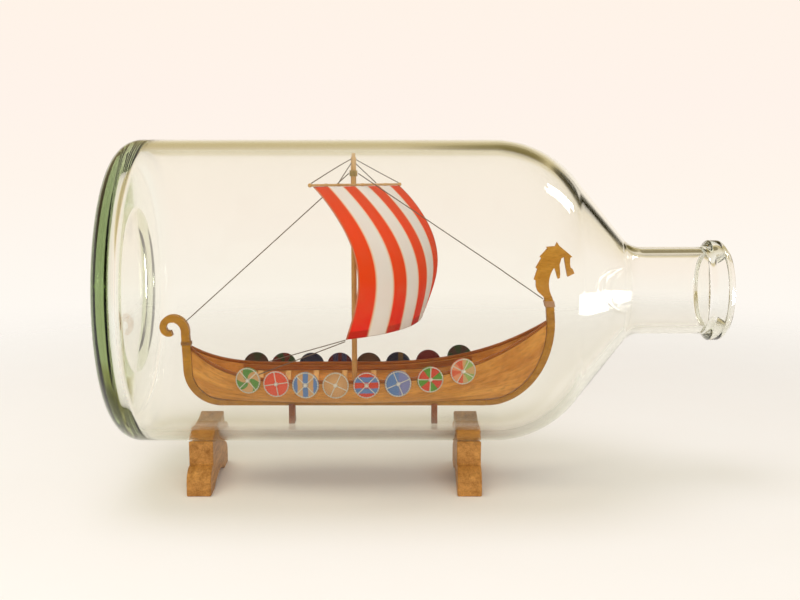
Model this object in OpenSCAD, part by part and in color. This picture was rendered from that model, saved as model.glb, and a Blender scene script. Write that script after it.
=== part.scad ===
// Ship in a bottle: a model longship with a striped square sail stands on two small props inside a
// clear glass bottle, and the bottle lies in two separate wooden cradles.
// +X runs along the bottle from its base to its mouth, +Y is the ship's port side, +Z is up.
// The origin is on the table, under the middle of the bottle.

/* [Bottle] */
// Length of the bottle from base to lip
bottle_len = 202; // [196:1:225]
// Outside diameter of the body
body_d = 100; // [96:1:110]
// Wall thickness of the body and shoulder
wall = 3.3; // [2.5:0.1:4]
// Thickness of the glass floor
floor_t = 6; // [4:0.5:9]
// Outside radius of the heel
heel_r = 8.5; // [6:0.5:12]
// Height of the push-up under the base
punt_h = 2.5; // [1.5:0.25:3.5]
// Radius of the push-up under the base
punt_r = 27; // [20:1:34]
// Distance from the base to the start of the shoulder
shoulder_at = 124; // [116:1:128]
// Radius of the shoulder's curve
shoulder_r = 34.5; // [30:0.5:38]
// Slope of the shoulder's cone, in degrees from the bottle's axis
shoulder_slope = 50.5; // [46:0.5:54]
// Radius of the curve from the shoulder into the neck
root_r = 8; // [5:0.5:10]
// Outside diameter of the neck
neck_d = 29; // [27:0.5:32]
// Diameter of the mouth's bore
mouth_d = 24; // [20:0.5:25]
// Diameter of the collar at the mouth
lip_d = 33.4; // [32.5:0.1:36]
// Length of the collar at the mouth
lip_len = 8.5; // [6:0.5:11]

/* [Cradles] */
// Thickness of each cradle
cradle_t = 8; // [5:0.5:12]
// Distance from the bottle's base to the first cradle's middle
base_cradle_at = 27.5; // [20:0.5:32]
// Distance from the bottle's base to the second cradle's middle
neck_cradle_at = 116; // [108:0.5:118]
// Clear height from the table to the bottle
bottle_clear = 15.2; // [12:0.2:20]
// Depth of a cradle across its saddle
saddle_w = 28; // [24:0.5:36]
// Depth of a cradle across its feet
foot_w = 41; // [38:0.5:50]
// Height of the straight side of a foot
foot_h = 4.2; // [3.5:0.1:6]
// Height of the moulded curve above a foot
ogee_h = 4.8; // [3:0.1:5]
// Width of the arch between the feet
arch_w = 24; // [16:0.5:28]
// Height of the arch between the feet
arch_h = 2.6; // [1.5:0.1:3.5]

/* [Hull] */
// Distance from the bottle's base to the mast
mast_at = 77.9; // [74:0.1:82]
// Height of the keel above the bottle's inner wall
prop_h = 6.9; // [5:0.1:9]
// Distance from the mast to the fore end of the keel
keel_fore = 44.3; // [42:0.1:46]
// Distance from the mast to the aft end of the keel
keel_aft = 44.4; // [43:0.1:46]
// Height of the keel
keel_h = 1.9; // [1.4:0.1:2.4]
// Width of the keel, stem and stern posts from side to side
post_t = 2.8; // [2.6:0.1:3.6]
// Width of the stem and stern posts seen from the side
post_w = 2.9; // [2.4:0.1:3.4]
// Reach of the stem's curve beyond the keel
stem_reach = 23.6; // [20:0.1:25]
// Height of the gunwale at the stem
stem_sheer = 28.3; // [24:0.1:31]
// Height of the stem post
stem_h = 37.4; // [35:0.1:40]
// Lean of the stem post's top towards the stern
stem_lean = 1.2; // [0:0.1:2]
// Radius of the stern post's curve
stern_r = 13.1; // [11:0.1:14]
// Lean of the stern post's top away from the bow
stern_lean = 0.6; // [0:0.1:1.2]
// Height of the gunwale at the stern
stern_sheer = 19.7; // [18:0.1:22]
// Height of the hull amidships
hull_h = 11.1; // [9:0.1:13]
// Beam across the inside of the planking
beam = 27; // [24:0.2:30]
// Thickness of a plank
plank_t = 0.5; // [0.4:0.05:0.55]
// Lap of each plank over the one below, as a share of its width
plank_lap = 0.22; // [0.15:0.01:0.3]
// Width of the gunwale rail
rail_w = 1.5; // [1.2:0.1:2]
// Height of the gunwale rail
rail_h = 1; // [0.8:0.1:1.4]
// Height of the stringer inside the planking
stringer_h = 1.2; // [0.9:0.1:2]
// Thickness of the stringer and of the ribs
rib_t = 0.9; // [0.6:0.1:1.2]
// Width of a rib
rib_w = 1.8; // [1.2:0.1:2.4]
// Thickness of the prop blocks under the keel
prop_t = 2; // [1.5:0.1:3]
// Width of a prop at its foot
prop_w = 9; // [7:0.5:12]
// Distance from the mast to the aft prop
prop_aft = 21.2; // [16:0.1:30]
// Distance from the mast to the fore prop
prop_fore = 26.9; // [18:0.1:32]
// Height of the volute's middle on the stern post
volute_z = 26.7; // [26:0.1:30]
// Radius at which the volute starts
volute_r = 5.28; // [4.8:0.02:5.8]
// Thickness of the dragon head board
head_t = 1.8; // [1.2:0.1:2.4]

/* [Shields] */
// Shields on each side
shield_count = 8; // [6:1:8]
// Diameter of a shield
shield_d = 8.7; // [7.5:0.1:9]
// Distance between the two aftmost shields
shield_pitch = 9.35; // [9.2:0.05:9.7]
// How much wider each gap between shields is than the one aft of it
shield_spread = 0.23; // [0:0.01:0.25]
// Distance from the mast to the aftmost shield
shield_aft = 34.4; // [33.8:0.1:35]
// Thickness of a shield board
shield_t = 0.6; // [0.4:0.05:0.9]
// Width of a shield's rim and bars
band_w = 0.55; // [0.4:0.05:0.8]
// Diameter of a shield's boss
boss_d = 1.5; // [1.2:0.1:2.4]

/* [Mast and sail] */
// Gap between the masthead and the glass
mast_gap = 1; // [0.6:0.1:4]
// Diameter of the mast
mast_d = 1.8; // [1.5:0.1:2.2]
// Distance from the masthead down to the yard
yard_drop = 10.6; // [9:0.1:13]
// Length of the yard
yard_len = 44; // [43.6:0.2:47]
// Diameter of the yard
yard_d = 0.8; // [0.7:0.05:1.1]
// Turn of the yard from the ship's middle line, in degrees
yard_turn = 50; // [42:1:58]
// Fall of the yard's port half, in degrees
yard_tilt = 1; // [0:0.25:1.5]
// Width of the sail at its head
sail_w = 42; // [39:0.2:42]
// Distance that the sail's head sits from the yard's middle towards the port arm
head_shift = 0.8; // [0:0.1:0.8]
// Width of the sail at its foot
sail_foot = 43.8; // [40:0.2:45]
// Turn of the sail's foot from the ship's middle line, in degrees
foot_turn = 55; // [48:0.5:58]
// Rise of the sail's foot from its starboard corner to its port corner
foot_rise = 2.4; // [0:0.1:3]
// Height of the sail from head to foot
sail_h = 46.6; // [42:0.1:48]
// Thickness of the sail's cloth
sail_t = 0.4; // [0.3:0.05:0.6]
// Depth of the sail's belly
belly = 11.5; // [6:0.5:12]
// Bow of the sail's foot
foot_bow = 8; // [3:0.5:8]
// Distance that the foot is blown forward of the head
foot_fore = 10.5; // [4:0.1:11]
// Diameter of the rigging thread
line_d = 0.4; // [0.3:0.05:0.6]

/* [Hidden] */

port = 1;
starboard = -1;
strakes = 5;
stations = 24;             // lengthwise steps along a plank
seat_gap = 0.3;            // between the bottle and a cradle
glue_gap = 0.08;           // between pieces that are glued along a curve
turn_gap = 0.03;           // between round pieces that slide together
rib_gap = 0.2;             // between the planking and the ribs or stringers glued inside it
hang_gap = 0.16;           // between a shield and the rail that it hangs on
end_s = 0.998;             // where a plank stops short of its post

body_r = body_d / 2;
body_in = body_r - wall;
neck_r = neck_d / 2;
mouth_r = mouth_d / 2;
lip_r = lip_d / 2;
axis_z = bottle_clear + body_r;
base_x = -bottle_len / 2;
ship_x = base_x + mast_at;                 // the mast stands here
ship_z = axis_z - body_in + prop_h;        // the keel's underside
mast_top = 2 * body_in - prop_h - mast_gap; // above the keel's underside
mast_r = mast_d / 2;
line_r = line_d / 2;
post_in = plank_t / 2;                     // half the gap between the plank ends on a post

wood = "peru";
dark_wood = "sienna";
cloth = "tomato";
thread = "dimgray";

// ---- curves ----
function arc(cx, cy, r, from, to, steps) =
    [for (i = [0:steps]) let (a = from + (to - from) * i / steps) [cx + r * cos(a), cy + r * sin(a)]];
function blend(a, b, k) = a + (b - a) * k;
function unit(v) = v / norm(v);

// ---- glass bottle: its profile is [distance from base, radius] ----
slope_at = shoulder_at + shoulder_r * sin(shoulder_slope);
slope_r = body_r - shoulder_r * (1 - cos(shoulder_slope));
root_run = root_r * tan(shoulder_slope / 2);
root_at = slope_at + (slope_r - neck_r) / tan(shoulder_slope);
lip_round = 2.6;
lip_flare = 2.2;                           // how far along the neck swells into the collar

outer_profile = concat(
    [[punt_h, 0]],
    arc(punt_h - (punt_r * punt_r + punt_h * punt_h) / (2 * punt_h), 0,
        (punt_r * punt_r + punt_h * punt_h) / (2 * punt_h),
        3, asin(punt_r / ((punt_r * punt_r + punt_h * punt_h) / (2 * punt_h))), 6),
    arc(heel_r, body_r - heel_r, heel_r, 180, 90, 8),
    arc(shoulder_at, body_r - shoulder_r, shoulder_r, 90, 90 - shoulder_slope, 8),
    arc(root_at + root_run, neck_r + root_r, root_r, 270 - shoulder_slope, 270, 5),
    [[bottle_len - lip_len, neck_r], [bottle_len - lip_len + lip_flare, lip_r]],
    arc(bottle_len - lip_round - 1, lip_r - lip_round, lip_round, 90, 0, 5),
    [[bottle_len, mouth_r + 1.2]]);

in_corner = 5;                             // radius between the floor and the wall inside
in_slope_r = shoulder_r - wall;
in_slope_at = shoulder_at + in_slope_r * sin(shoulder_slope);
in_slope_edge = body_in - in_slope_r * (1 - cos(shoulder_slope));
in_root_r = root_r + neck_r - mouth_r;
in_root_at = in_slope_at + (in_slope_edge - mouth_r) / tan(shoulder_slope);
in_root_run = in_root_r * tan(shoulder_slope / 2);
dome_h = punt_h * 0.8;                     // the floor follows the push-up, more gently

inner_profile = concat(
    [[floor_t + dome_h, 0]],
    [for (i = [1:6]) let (k = i / 6) [floor_t + dome_h * (1 - k * k), (body_in - in_corner) * k]],
    arc(floor_t + in_corner, body_in - in_corner, in_corner, 165, 90, 5),
    arc(shoulder_at, body_in - in_slope_r, in_slope_r, 90, 90 - shoulder_slope, 8),
    arc(in_root_at + in_root_run, mouth_r + in_root_r, in_root_r, 270 - shoulder_slope, 270, 5),
    [[bottle_len - 1.2, mouth_r], [bottle_len, mouth_r + 1.2]]);

function flipped(points) = [for (i = [len(points) - 1:-1:0]) points[i]];

// Blown and pressed clear glass, one piece
module glass_bottle()
    color("honeydew", 0.35)
    translate([base_x, 0, axis_z])
    rotate([0, 90, 0])
    rotate_extrude($fn = 96)
    polygon([for (p = concat(outer_profile, flipped([for (i = [0:len(inner_profile) - 2]) inner_profile[i]])))
        [p[1], p[0]]]);

// ---- cradles: a block with a round saddle, moulded feet and a shallow arch ----
module cradle(at)
    color(dark_wood)
    translate([base_x + at, 0, 0])
    rotate([90, 0, 90])
    linear_extrude(height = cradle_t, center = true)
    difference() {
        cradle_outline();
        translate([0, axis_z])
            circle(r = body_r + seat_gap, $fn = 180);
        translate([0, arch_h - arch_arc_r])
            circle(r = arch_arc_r, $fn = 120);
    }

arch_arc_r = (arch_w * arch_w / 4 + arch_h * arch_h) / (2 * arch_h);

module cradle_outline() {
    flare = (foot_w - saddle_w) / 2;
    right = concat([[foot_w / 2, 0]],
        [for (i = [0:8]) let (a = 90 - 90 * i / 8)
            [saddle_w / 2 + flare * sin(a), foot_h + ogee_h * cos(a)]],
        [[saddle_w / 2, axis_z - sqrt(pow(body_r, 2) - pow(saddle_w / 2, 2))]]);
    polygon(concat(right, flipped([for (p = right) [-p[0], p[1]]])));
}

module base_end_cradle() cradle(base_cradle_at);
module neck_end_cradle() cradle(neck_cradle_at);

// ---- hull form ----
// x runs forward from the mast and z up from the keel's underside. A plank line has a share t of
// the girth, 0 at the keel and 1 at the gunwale, and s runs from -1 at the stern to 1 at the stem.
bilge_turn = 80;                           // degrees that a midship section turns through
function edge_w(a) = blend(keel_h + plank_t, post_w, a / 90);
function stem_end(t) = let (a = 90 * t)
    [keel_fore + (stem_reach - edge_w(a)) * sin(a),
     stem_sheer - (stem_sheer - edge_w(a)) * cos(a)];
stern_bend = 0.7;                          // share of the girth that ends on the stern's curve
function lean_at(z) = stern_lean * max(0, z - stern_r) / (volute_z - stern_r);
function stern_end(t) = let (
    a = 90 * min(1, t / stern_bend),
    z = t < stern_bend ? stern_r - (stern_r - edge_w(a)) * cos(a)
                       : blend(stern_r, stern_sheer, (t - stern_bend) / (1 - stern_bend)))
    [-keel_aft - (stern_r - edge_w(a)) * sin(a) - lean_at(z), z];
function mid_y(t) = blend(post_in, beam / 2, sin(bilge_turn * t) / sin(bilge_turn));
function mid_z(t) = blend(keel_h + plank_t, hull_h, (1 - cos(bilge_turn * t)) / (1 - cos(bilge_turn)));
function end_of(s, t) = s < 0 ? stern_end(t) : stem_end(t);
function fullness(s, t) = s < 0 ? blend(2, 3.1, t) : blend(1.6, 2, t);
function rise(s) = s < 0 ? 5 : 2.6;
function hull(s, t) = let (e = end_of(s, t), k = abs(s))
    [e[0] * k,
     blend(mid_y(t), post_in, pow(k, fullness(s, t))),
     blend(mid_z(t), e[1], pow(k, rise(s)))];
// The way out of the hull's side, square to the section
function out_of(s, t) = let (a = hull(s, max(0, t - 0.01)), b = hull(s, min(1, t + 0.01)),
                             d = unit([b[1] - a[1], b[2] - a[2]])) [0, d[1], -d[0]];
function skin(s, t, out) = hull(s, t) + out_of(s, t) * out;
function s_at(x, t) = x < 0 ? -x / stern_end(t)[0] : x / stem_end(t)[0];
function skin_at(x, t, out) = skin(s_at(x, t), t, out);
function side_of(p, side) = [p[0], p[1] * side, p[2]];

// A solid between an inner and an outer grid of points, both indexed [i][j]
module shell(inner, outer, flip) {
    ni = len(inner);
    nj = len(inner[0]);
    points = concat([for (row = inner) each row], [for (row = outer) each row]);
    function id(i, j, k) = k * ni * nj + i * nj + j;
    faces = concat(
        [for (i = [0:ni - 2], j = [0:nj - 2]) each [
            [id(i, j, 1), id(i + 1, j, 1), id(i + 1, j + 1, 1)],
            [id(i, j, 1), id(i + 1, j + 1, 1), id(i, j + 1, 1)],
            [id(i, j, 0), id(i + 1, j + 1, 0), id(i + 1, j, 0)],
            [id(i, j, 0), id(i, j + 1, 0), id(i + 1, j + 1, 0)]]],
        [for (i = [0:ni - 2]) each [
            [id(i, 0, 0), id(i + 1, 0, 0), id(i + 1, 0, 1)],
            [id(i, 0, 0), id(i + 1, 0, 1), id(i, 0, 1)],
            [id(i, nj - 1, 0), id(i + 1, nj - 1, 1), id(i + 1, nj - 1, 0)],
            [id(i, nj - 1, 0), id(i, nj - 1, 1), id(i + 1, nj - 1, 1)]]],
        [for (j = [0:nj - 2]) each [
            [id(0, j, 0), id(0, j, 1), id(0, j + 1, 1)],
            [id(0, j, 0), id(0, j + 1, 1), id(0, j + 1, 0)],
            [id(ni - 1, j, 0), id(ni - 1, j + 1, 1), id(ni - 1, j, 1)],
            [id(ni - 1, j, 0), id(ni - 1, j + 1, 0), id(ni - 1, j + 1, 1)]]]);
    polyhedron(points, flip ? faces : [for (f = faces) [f[0], f[2], f[1]]], convexity = 4);
}

module in_ship() translate([ship_x, 0, ship_z]) children();

// A plank hangs outside the one below at its lower edge and lies against the hull line at its top
module strake(side, number) {
    low = (number - 1) / strakes;
    high = number / strakes;
    lap = plank_lap / strakes;
    lines = number == 1 ? [low, low + lap, high - lap, high] : [low - lap, low, high - lap, high];
    step = number == 1 ? [0, 0, 0, 0] : [plank_t, plank_t, 0, 0];
    function place(i) = blend(-end_s, end_s, i / stations);
    in_ship()
        shell([for (i = [0:stations]) [for (j = [0:3]) side_of(skin(place(i), lines[j], step[j]), side)]],
              [for (i = [0:stations]) [for (j = [0:3])
                  side_of(skin(place(i), lines[j], step[j] + plank_t), side)]],
              side == port);
}

module port_garboard() color(wood) strake(port, 1);
module port_second_strake() color(wood) strake(port, 2);
module port_third_strake() color(wood) strake(port, 3);
module port_fourth_strake() color(wood) strake(port, 4);
module port_sheer_strake() color(wood) strake(port, 5);
module starboard_garboard() color(wood) strake(starboard, 1);
module starboard_second_strake() color(wood) strake(starboard, 2);
module starboard_third_strake() color(wood) strake(starboard, 3);
module starboard_fourth_strake() color(wood) strake(starboard, 4);
module starboard_sheer_strake() color(wood) strake(starboard, 5);

// A square bar that follows the hull line: [y, z] from its lower inner corner
module bar(side, from, to, low, high, steps, line)
    in_ship()
        shell([for (i = [0:steps]) let (p = line(blend(from, to, i / steps)))
                  [side_of(p + low, side), side_of(p + [0, low[1], high[2]], side)]],
              [for (i = [0:steps]) let (p = line(blend(from, to, i / steps)))
                  [side_of(p + [0, high[1], low[2]], side), side_of(p + high, side)]],
              side == port);

// The rail caps the top plank and ends against the posts
rail_in = (rail_w - plank_t) / 2;
module gunwale(side)
    color(dark_wood)
    bar(side, -end_s, end_s, [0, -post_in + 0.02, 0], [0, rail_w - rail_in, rail_h], stations,
        function (s) hull(s, 1));
module port_gunwale() gunwale(port);
module starboard_gunwale() gunwale(starboard);

// The stringer lies inside the top plank and carries the heads of the ribs
function shield_x(i) = shield_pitch * i + shield_spread * i * (i - 1) / 2 - shield_aft;
stringer_aft = shield_aft + 4;
stringer_fore = shield_x(shield_count - 1) + 4;
stringer_low = 1 - stringer_h / (hull_h - keel_h);
stringer_high = 0.985;
function stringer_row(x, out, side) =
    [for (t = [stringer_low, stringer_high]) side_of(skin_at(x, t, out), side)];
module stringer(side)
    color(dark_wood)
    in_ship()
        shell([for (i = [0:stations])
                  stringer_row(blend(-stringer_aft, stringer_fore, i / stations), -rib_gap - rib_t, side)],
              [for (i = [0:stations])
                  stringer_row(blend(-stringer_aft, stringer_fore, i / stations), -rib_gap, side)],
              side == port);
module port_stringer() stringer(port);
module starboard_stringer() stringer(starboard);

// Ribs bend across the keel from stringer to stringer
rib_count = shield_count;
rib_off = 1.8;                             // a rib stands this far forward of its shield
rib_top = stringer_low - 0.02;
rib_steps = 8;
function rib_line(x, out) = concat(
    [for (i = [0:rib_steps - 1]) skin_at(x, rib_top * (1 - i / rib_steps), out)],
    [[x, 0, skin_at(x, 0, out)[2]]],
    [for (i = [1:rib_steps]) side_of(skin_at(x, rib_top * i / rib_steps, out), starboard)]);
module rib(x)
    in_ship()
        shell([for (d = [-rib_w / 2, rib_w / 2]) [for (p = rib_line(x, -rib_gap - rib_t)) p + [d, 0, 0]]],
              [for (d = [-rib_w / 2, rib_w / 2]) [for (p = rib_line(x, -rib_gap)) p + [d, 0, 0]]],
              false);
module ribs()
    color(wood)
    for (i = [0:rib_count - 1])
        rib(shield_x(i) + rib_off);

// ---- keel and posts: sawn from board, so each is an outline in the ship's middle plane ----
module board(t) rotate([90, 0, 0]) linear_extrude(height = t, center = true) children();

module keel()
    color(wood)
    in_ship()
    translate([-keel_aft, -post_t / 2, 0])
        cube([keel_aft + keel_fore, post_t, keel_h]);

curve_steps = 14;
post_edge = post_w;
stem_outer = concat(
    [for (i = [0:curve_steps]) let (a = 90 * i / curve_steps)
        [keel_fore + stem_reach * sin(a), stem_sheer * (1 - cos(a))]],
    [[keel_fore + stem_reach - stem_lean / 3, blend(stem_sheer, stem_h, 0.6)],
     [keel_fore + stem_reach - stem_lean, stem_h]]);
stem_inner = concat(
    [for (i = [0:curve_steps]) let (a = 90 * i / curve_steps, w = blend(keel_h, post_edge, i / curve_steps))
        [keel_fore + (stem_reach - w) * sin(a), stem_sheer - (stem_sheer - w) * cos(a)]],
    [[keel_fore + stem_reach - post_edge - stem_lean / 3, blend(stem_sheer, stem_h, 0.6)],
     [keel_fore + stem_reach - post_edge - stem_lean, stem_h]]);
module stem_post()
    color(wood)
    in_ship()
    board(post_t)
    polygon(concat(stem_outer, flipped(stem_inner)));

// The stern post rises from a quarter circle and ends in a volute that curls back and under
stern_face = -keel_aft - stern_r;          // x of the post's straight outer edge
volute_x = stern_face - stern_lean + post_w / 2 - volute_r * cos(20);
volute_shrink = 1.26;
volute_tip = post_w * 0.62;
function volute(share, side) = let (
    a = blend(-20, 290, share),
    r = volute_r * exp(-volute_shrink * share),
    w = blend(post_w, volute_tip, share))
    [volute_x + (r + side * w / 2) * cos(a), volute_z + (r + side * w / 2) * sin(a)];
volute_steps = 30;
stern_outer = concat(
    [for (i = [0:curve_steps]) let (a = 90 * i / curve_steps)
        [-keel_aft - stern_r * sin(a), stern_r * (1 - cos(a))]],
    [[stern_face - lean_at(volute_z - volute_r), volute_z - volute_r]],
    [for (i = [0:volute_steps]) volute(i / volute_steps, -1)]);
stern_inner = concat(
    [for (i = [0:curve_steps]) let (a = 90 * i / curve_steps, w = blend(keel_h, post_edge, i / curve_steps))
        [-keel_aft - (stern_r - w) * sin(a), stern_r - (stern_r - w) * cos(a)]],
    [[stern_face + post_w - lean_at(volute_z - volute_r), volute_z - volute_r]],
    [for (i = [0:volute_steps]) volute(i / volute_steps, 1)]);
module stern_post()
    color(wood)
    in_ship()
    board(post_t)
    polygon(concat(stern_outer, flipped(stern_inner)));

// The dragon head is a flat fretted board: an arched neck with a saw-tooth mane, an ear, a long
// upper jaw that bends down and a lower jaw under it. Its points are measured from the stem's top.
head_x = keel_fore + stem_reach - stem_lean - post_edge;
nape = [15.1, 5.4];                        // centre of the arc along the back of the neck
nape_r = 18;
mane_teeth = 4;
mane_out = 0.65;
function nape_at(a, r) = [nape[0] + r * cos(a), nape[1] + r * sin(a)];
function mane(i) = let (a = 178.6 - 12.1 * i)
    [nape_at(a, nape_r), nape_at(a - 0.4, nape_r + mane_out)];
throat = arc(10.8, 4.7, 9.2, 145.5, 210.7, 6);
module dragon_head()
    color(wood)
    in_ship()
    translate([head_x, 0, stem_h])
    board(head_t)
    polygon(concat(
        [[0, 0], [-2.2, 2], [-2.8, 3.5]],
        [for (i = [0:mane_teeth - 1]) each mane(i)],
        [[3.6, 17.2], [4.2, 18.5], [5, 17.4]],                             // ear
        [[9.8, 13.8], [9, 13.4], [9, 11.3], [9.3, 10], [10, 9.7], [10.8, 8.2]], // muzzle
        [[8.2, 7], [7.5, 10], [6.8, 13.7], [5.8, 13.2]],                   // upper jaw and mouth
        [[5.2, 11.1], [5.5, 8], [5.4, 6.6], [4.7, 6.3], [4, 8.5], [3.6, 9.6]], // lower jaw
        throat,
        [[post_edge, 0]]));

// ---- props: small blocks cut to the bottle's curve below and notched for the keel above ----
module prop(x)
    color(dark_wood)
    in_ship()
    translate([x, 0, 0])
    rotate([90, 0, 90])
    linear_extrude(height = prop_t, center = true)
    difference() {
        prop_outline();
        translate([-post_t / 2 - glue_gap, -glue_gap])
            square([post_t + 2 * glue_gap, keel_h]);
    }
prop_horn = 0.5;                           // wood left each side of the keel
prop_cheek = 0.7;                          // how high that wood stands beside the keel
module prop_outline()
    intersection() {
        polygon(let (right = concat(
                [for (i = [0:6]) let (a = 90 * i / 6)
                    [prop_w / 2 - (prop_w / 2 - post_t / 2 - prop_horn - glue_gap) * sin(a),
                     -prop_h - 1 + (prop_h * 0.75 + 1) * (1 - cos(a))]],
                [[post_t / 2 + prop_horn + glue_gap, prop_cheek]]))
            concat(right, flipped([for (p = right) [-p[0], p[1]]])));
        translate([0, axis_z - ship_z])
            circle(r = body_in - glue_gap, $fn = 180);
    }
module aft_prop() prop(-prop_aft);
module fore_prop() prop(prop_fore);

// ---- mast, yard and sail ----
step_w = 4.6;
step_len = 5;
step_h = 2.2;
step_z = keel_h + plank_t + 0.3;           // it beds on the flat of the garboards
socket = 1.2;                              // how deep the mast stands in its step
module mast_step()
    color(wood)
    in_ship()
    difference() {
        union() {
            translate([-step_len / 2, -step_w / 2, step_z])
                cube([step_len, step_w, step_h]);
            translate([-step_len / 2, -step_w / 4, step_z])
                cube([step_len / 2 - mast_r - 0.3, step_w / 2, step_h * 2]);
        }
        translate([0, 0, step_z + step_h - socket])
            cylinder(r = mast_r + turn_gap, h = step_h * 3, $fn = 48);
    }

ring_h = 1.9;
ring_t = 0.4;
masthead = 1.4;                            // length of the thin tip
ring_z = mast_top - 7.8;                   // the stays are made fast here
mast_foot = step_z + step_h - socket + turn_gap;
module mast()
    color(wood)
    in_ship() {
        translate([0, 0, mast_foot])
            cylinder(r = mast_r, h = mast_top - masthead - mast_foot, $fn = 48);
        translate([0, 0, mast_top - masthead])
            cylinder(r = mast_r * 0.7, h = masthead, $fn = 48);
    }
module mast_ring()
    color(dark_wood)
    in_ship()
    translate([0, 0, ring_z])
    difference() {
        cylinder(r = mast_r + ring_t, h = ring_h, $fn = 48);
        translate([0, 0, -1])
            cylinder(r = mast_r + turn_gap, h = ring_h + 2, $fn = 48);
    }

along = [cos(yard_turn) * cos(yard_tilt), sin(yard_turn) * cos(yard_tilt), -sin(yard_tilt)];
ahead = [sin(yard_turn), -cos(yard_turn), 0];
yard_z = mast_top - yard_drop;
yard_mid = ahead * (mast_r + yard_d / 2 + turn_gap) + [0, 0, yard_z];
function on_yard(d) = yard_mid + along * d;

// A round bar between two points
module rod(from, to, r) {
    v = to - from;
    translate(from)
        rotate([0, acos(v[2] / norm(v)), atan2(v[1], v[0])])
        cylinder(r = r, h = norm(v), $fn = 24);
}

knob_r = 0.65;
cleats = [-14.6, -8.5, 3.1, 14.6];         // small collars that the lifts and cloth are tied against
cleat_len = 1;
cleat_out = 0.1;
module yard()
    color(wood)
    in_ship() {
        rod(on_yard(-yard_len / 2), on_yard(yard_len / 2), yard_d / 2);
        for (d = cleats)
            rod(on_yard(d - cleat_len / 2), on_yard(d + cleat_len / 2), yard_d / 2 + cleat_out);
        for (d = [-1, 1])
            translate(on_yard(d * yard_len / 2))
                sphere(r = knob_r, $fn = 24);
    }

// The sail's cloth: u runs along the yard from -1 to 1 and v from the head down to the foot
head_bow = 1.4;
sail_up = 0.15;                            // the head hangs this far below the yard
sail_head = yard_z - yard_d / 2 - sail_up;
foot_along = [cos(foot_turn), sin(foot_turn), 0];
foot_ahead = [sin(foot_turn), -cos(foot_turn), 0];
function sail_at(u, v) = let (
    head = yard_mid + along * (head_shift + u * sail_w / 2) + ahead * (head_bow * (1 - u * u))
           - [0, 0, yard_d / 2 + sail_up],
    foot = [foot_fore, 0, sail_head - sail_h + u * foot_rise / 2]
           + foot_along * (u * sail_foot / 2) + foot_ahead * (foot_bow * (1 - u * u)))
    blend(head, foot, v) + ahead * (belly * sin(180 * pow(max(v, 0), 0.9)));
function sail_out(u, v) = unit(cross(sail_at(u + 0.02, v) - sail_at(u - 0.02, v),
                                     sail_at(u, v + 0.02) - sail_at(u, v - 0.02)));
across = 14;
down = 18;
module sail()
    color(cloth)
    in_ship()
        shell([for (i = [0:across]) let (u = blend(-1, 1, i / across))
                  [for (j = [0:down]) let (v = j / down) sail_at(u, v) + sail_out(u, v) * sail_t / 2]],
              [for (i = [0:across]) let (u = blend(-1, 1, i / across))
                  [for (j = [0:down]) let (v = j / down) sail_at(u, v) - sail_out(u, v) * sail_t / 2]],
              false);

// ---- shields: a round board, with a metal rim and bars and a domed boss, hung on the rail ----
shield_up = -0.3;                          // centre above the rail's underside
function shield_s(i) = s_at(shield_x(i), 1);
function rail_out(s) = hull(s, 1) + [0, rail_w - rail_in, 0];
module on_rail(side, i) {
    s = shield_s(i);
    p = rail_out(s);
    d = rail_out(s + 0.01) - rail_out(s - 0.01);
    in_ship()
    translate([p[0], side * (p[1] + hang_gap), p[2] + shield_up])
        rotate([0, 0, side * atan2(d[1], d[0])])
        rotate([-90 * side, 0, 0])
        children();
}
module shield(side, i)
    color("steelblue")
    on_rail(side, i)
        cylinder(r = shield_d / 2, h = shield_t, $fn = 48);
module port_shield_1() shield(port, 0);
module port_shield_2() shield(port, 1);
module port_shield_3() shield(port, 2);
module port_shield_4() shield(port, 3);
module port_shield_5() shield(port, 4);
module port_shield_6() shield(port, 5);
module port_shield_7() shield(port, 6);
module port_shield_8() shield(port, 7);
module starboard_shield_1() shield(starboard, 0);
module starboard_shield_2() shield(starboard, 1);
module starboard_shield_3() shield(starboard, 2);
module starboard_shield_4() shield(starboard, 3);
module starboard_shield_5() shield(starboard, 4);
module starboard_shield_6() shield(starboard, 5);
module starboard_shield_7() shield(starboard, 6);
module starboard_shield_8() shield(starboard, 7);

band_t = 0.2;
boss_h = 0.8;
module shield_bands(side)
    color("gainsboro")
    for (i = [0:shield_count - 1])
        on_rail(side, i)
        translate([0, 0, shield_t])
        difference() {
            union() {
                difference() {
                    cylinder(r = shield_d / 2, h = band_t, $fn = 48);
                    translate([0, 0, -1])
                        cylinder(r = shield_d / 2 - band_w, h = band_t + 2, $fn = 48);
                }
                for (turn = [45, 135])
                    rotate([0, 0, turn])
                    translate([-shield_d / 2 + band_w / 2, -band_w / 2, 0])
                        cube([shield_d - band_w, band_w, band_t]);
            }
            translate([0, 0, -1])
                cylinder(r = boss_d / 2, h = band_t + 2, $fn = 48);
        }
module port_shield_bands() shield_bands(port);
module starboard_shield_bands() shield_bands(starboard);

boss_r = (boss_d * boss_d / 4 + boss_h * boss_h) / (2 * boss_h);
module shield_bosses(side)
    color("silver")
    for (i = [0:shield_count - 1])
        on_rail(side, i)
        translate([0, 0, shield_t])
        rotate_extrude($fn = 32)
        polygon(concat([[0, 0]], arc(0, boss_h - boss_r, boss_r, asin((boss_r - boss_h) / boss_r), 90, 6)));
module port_shield_bosses() shield_bosses(port);
module starboard_shield_bosses() shield_bosses(starboard);

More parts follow.
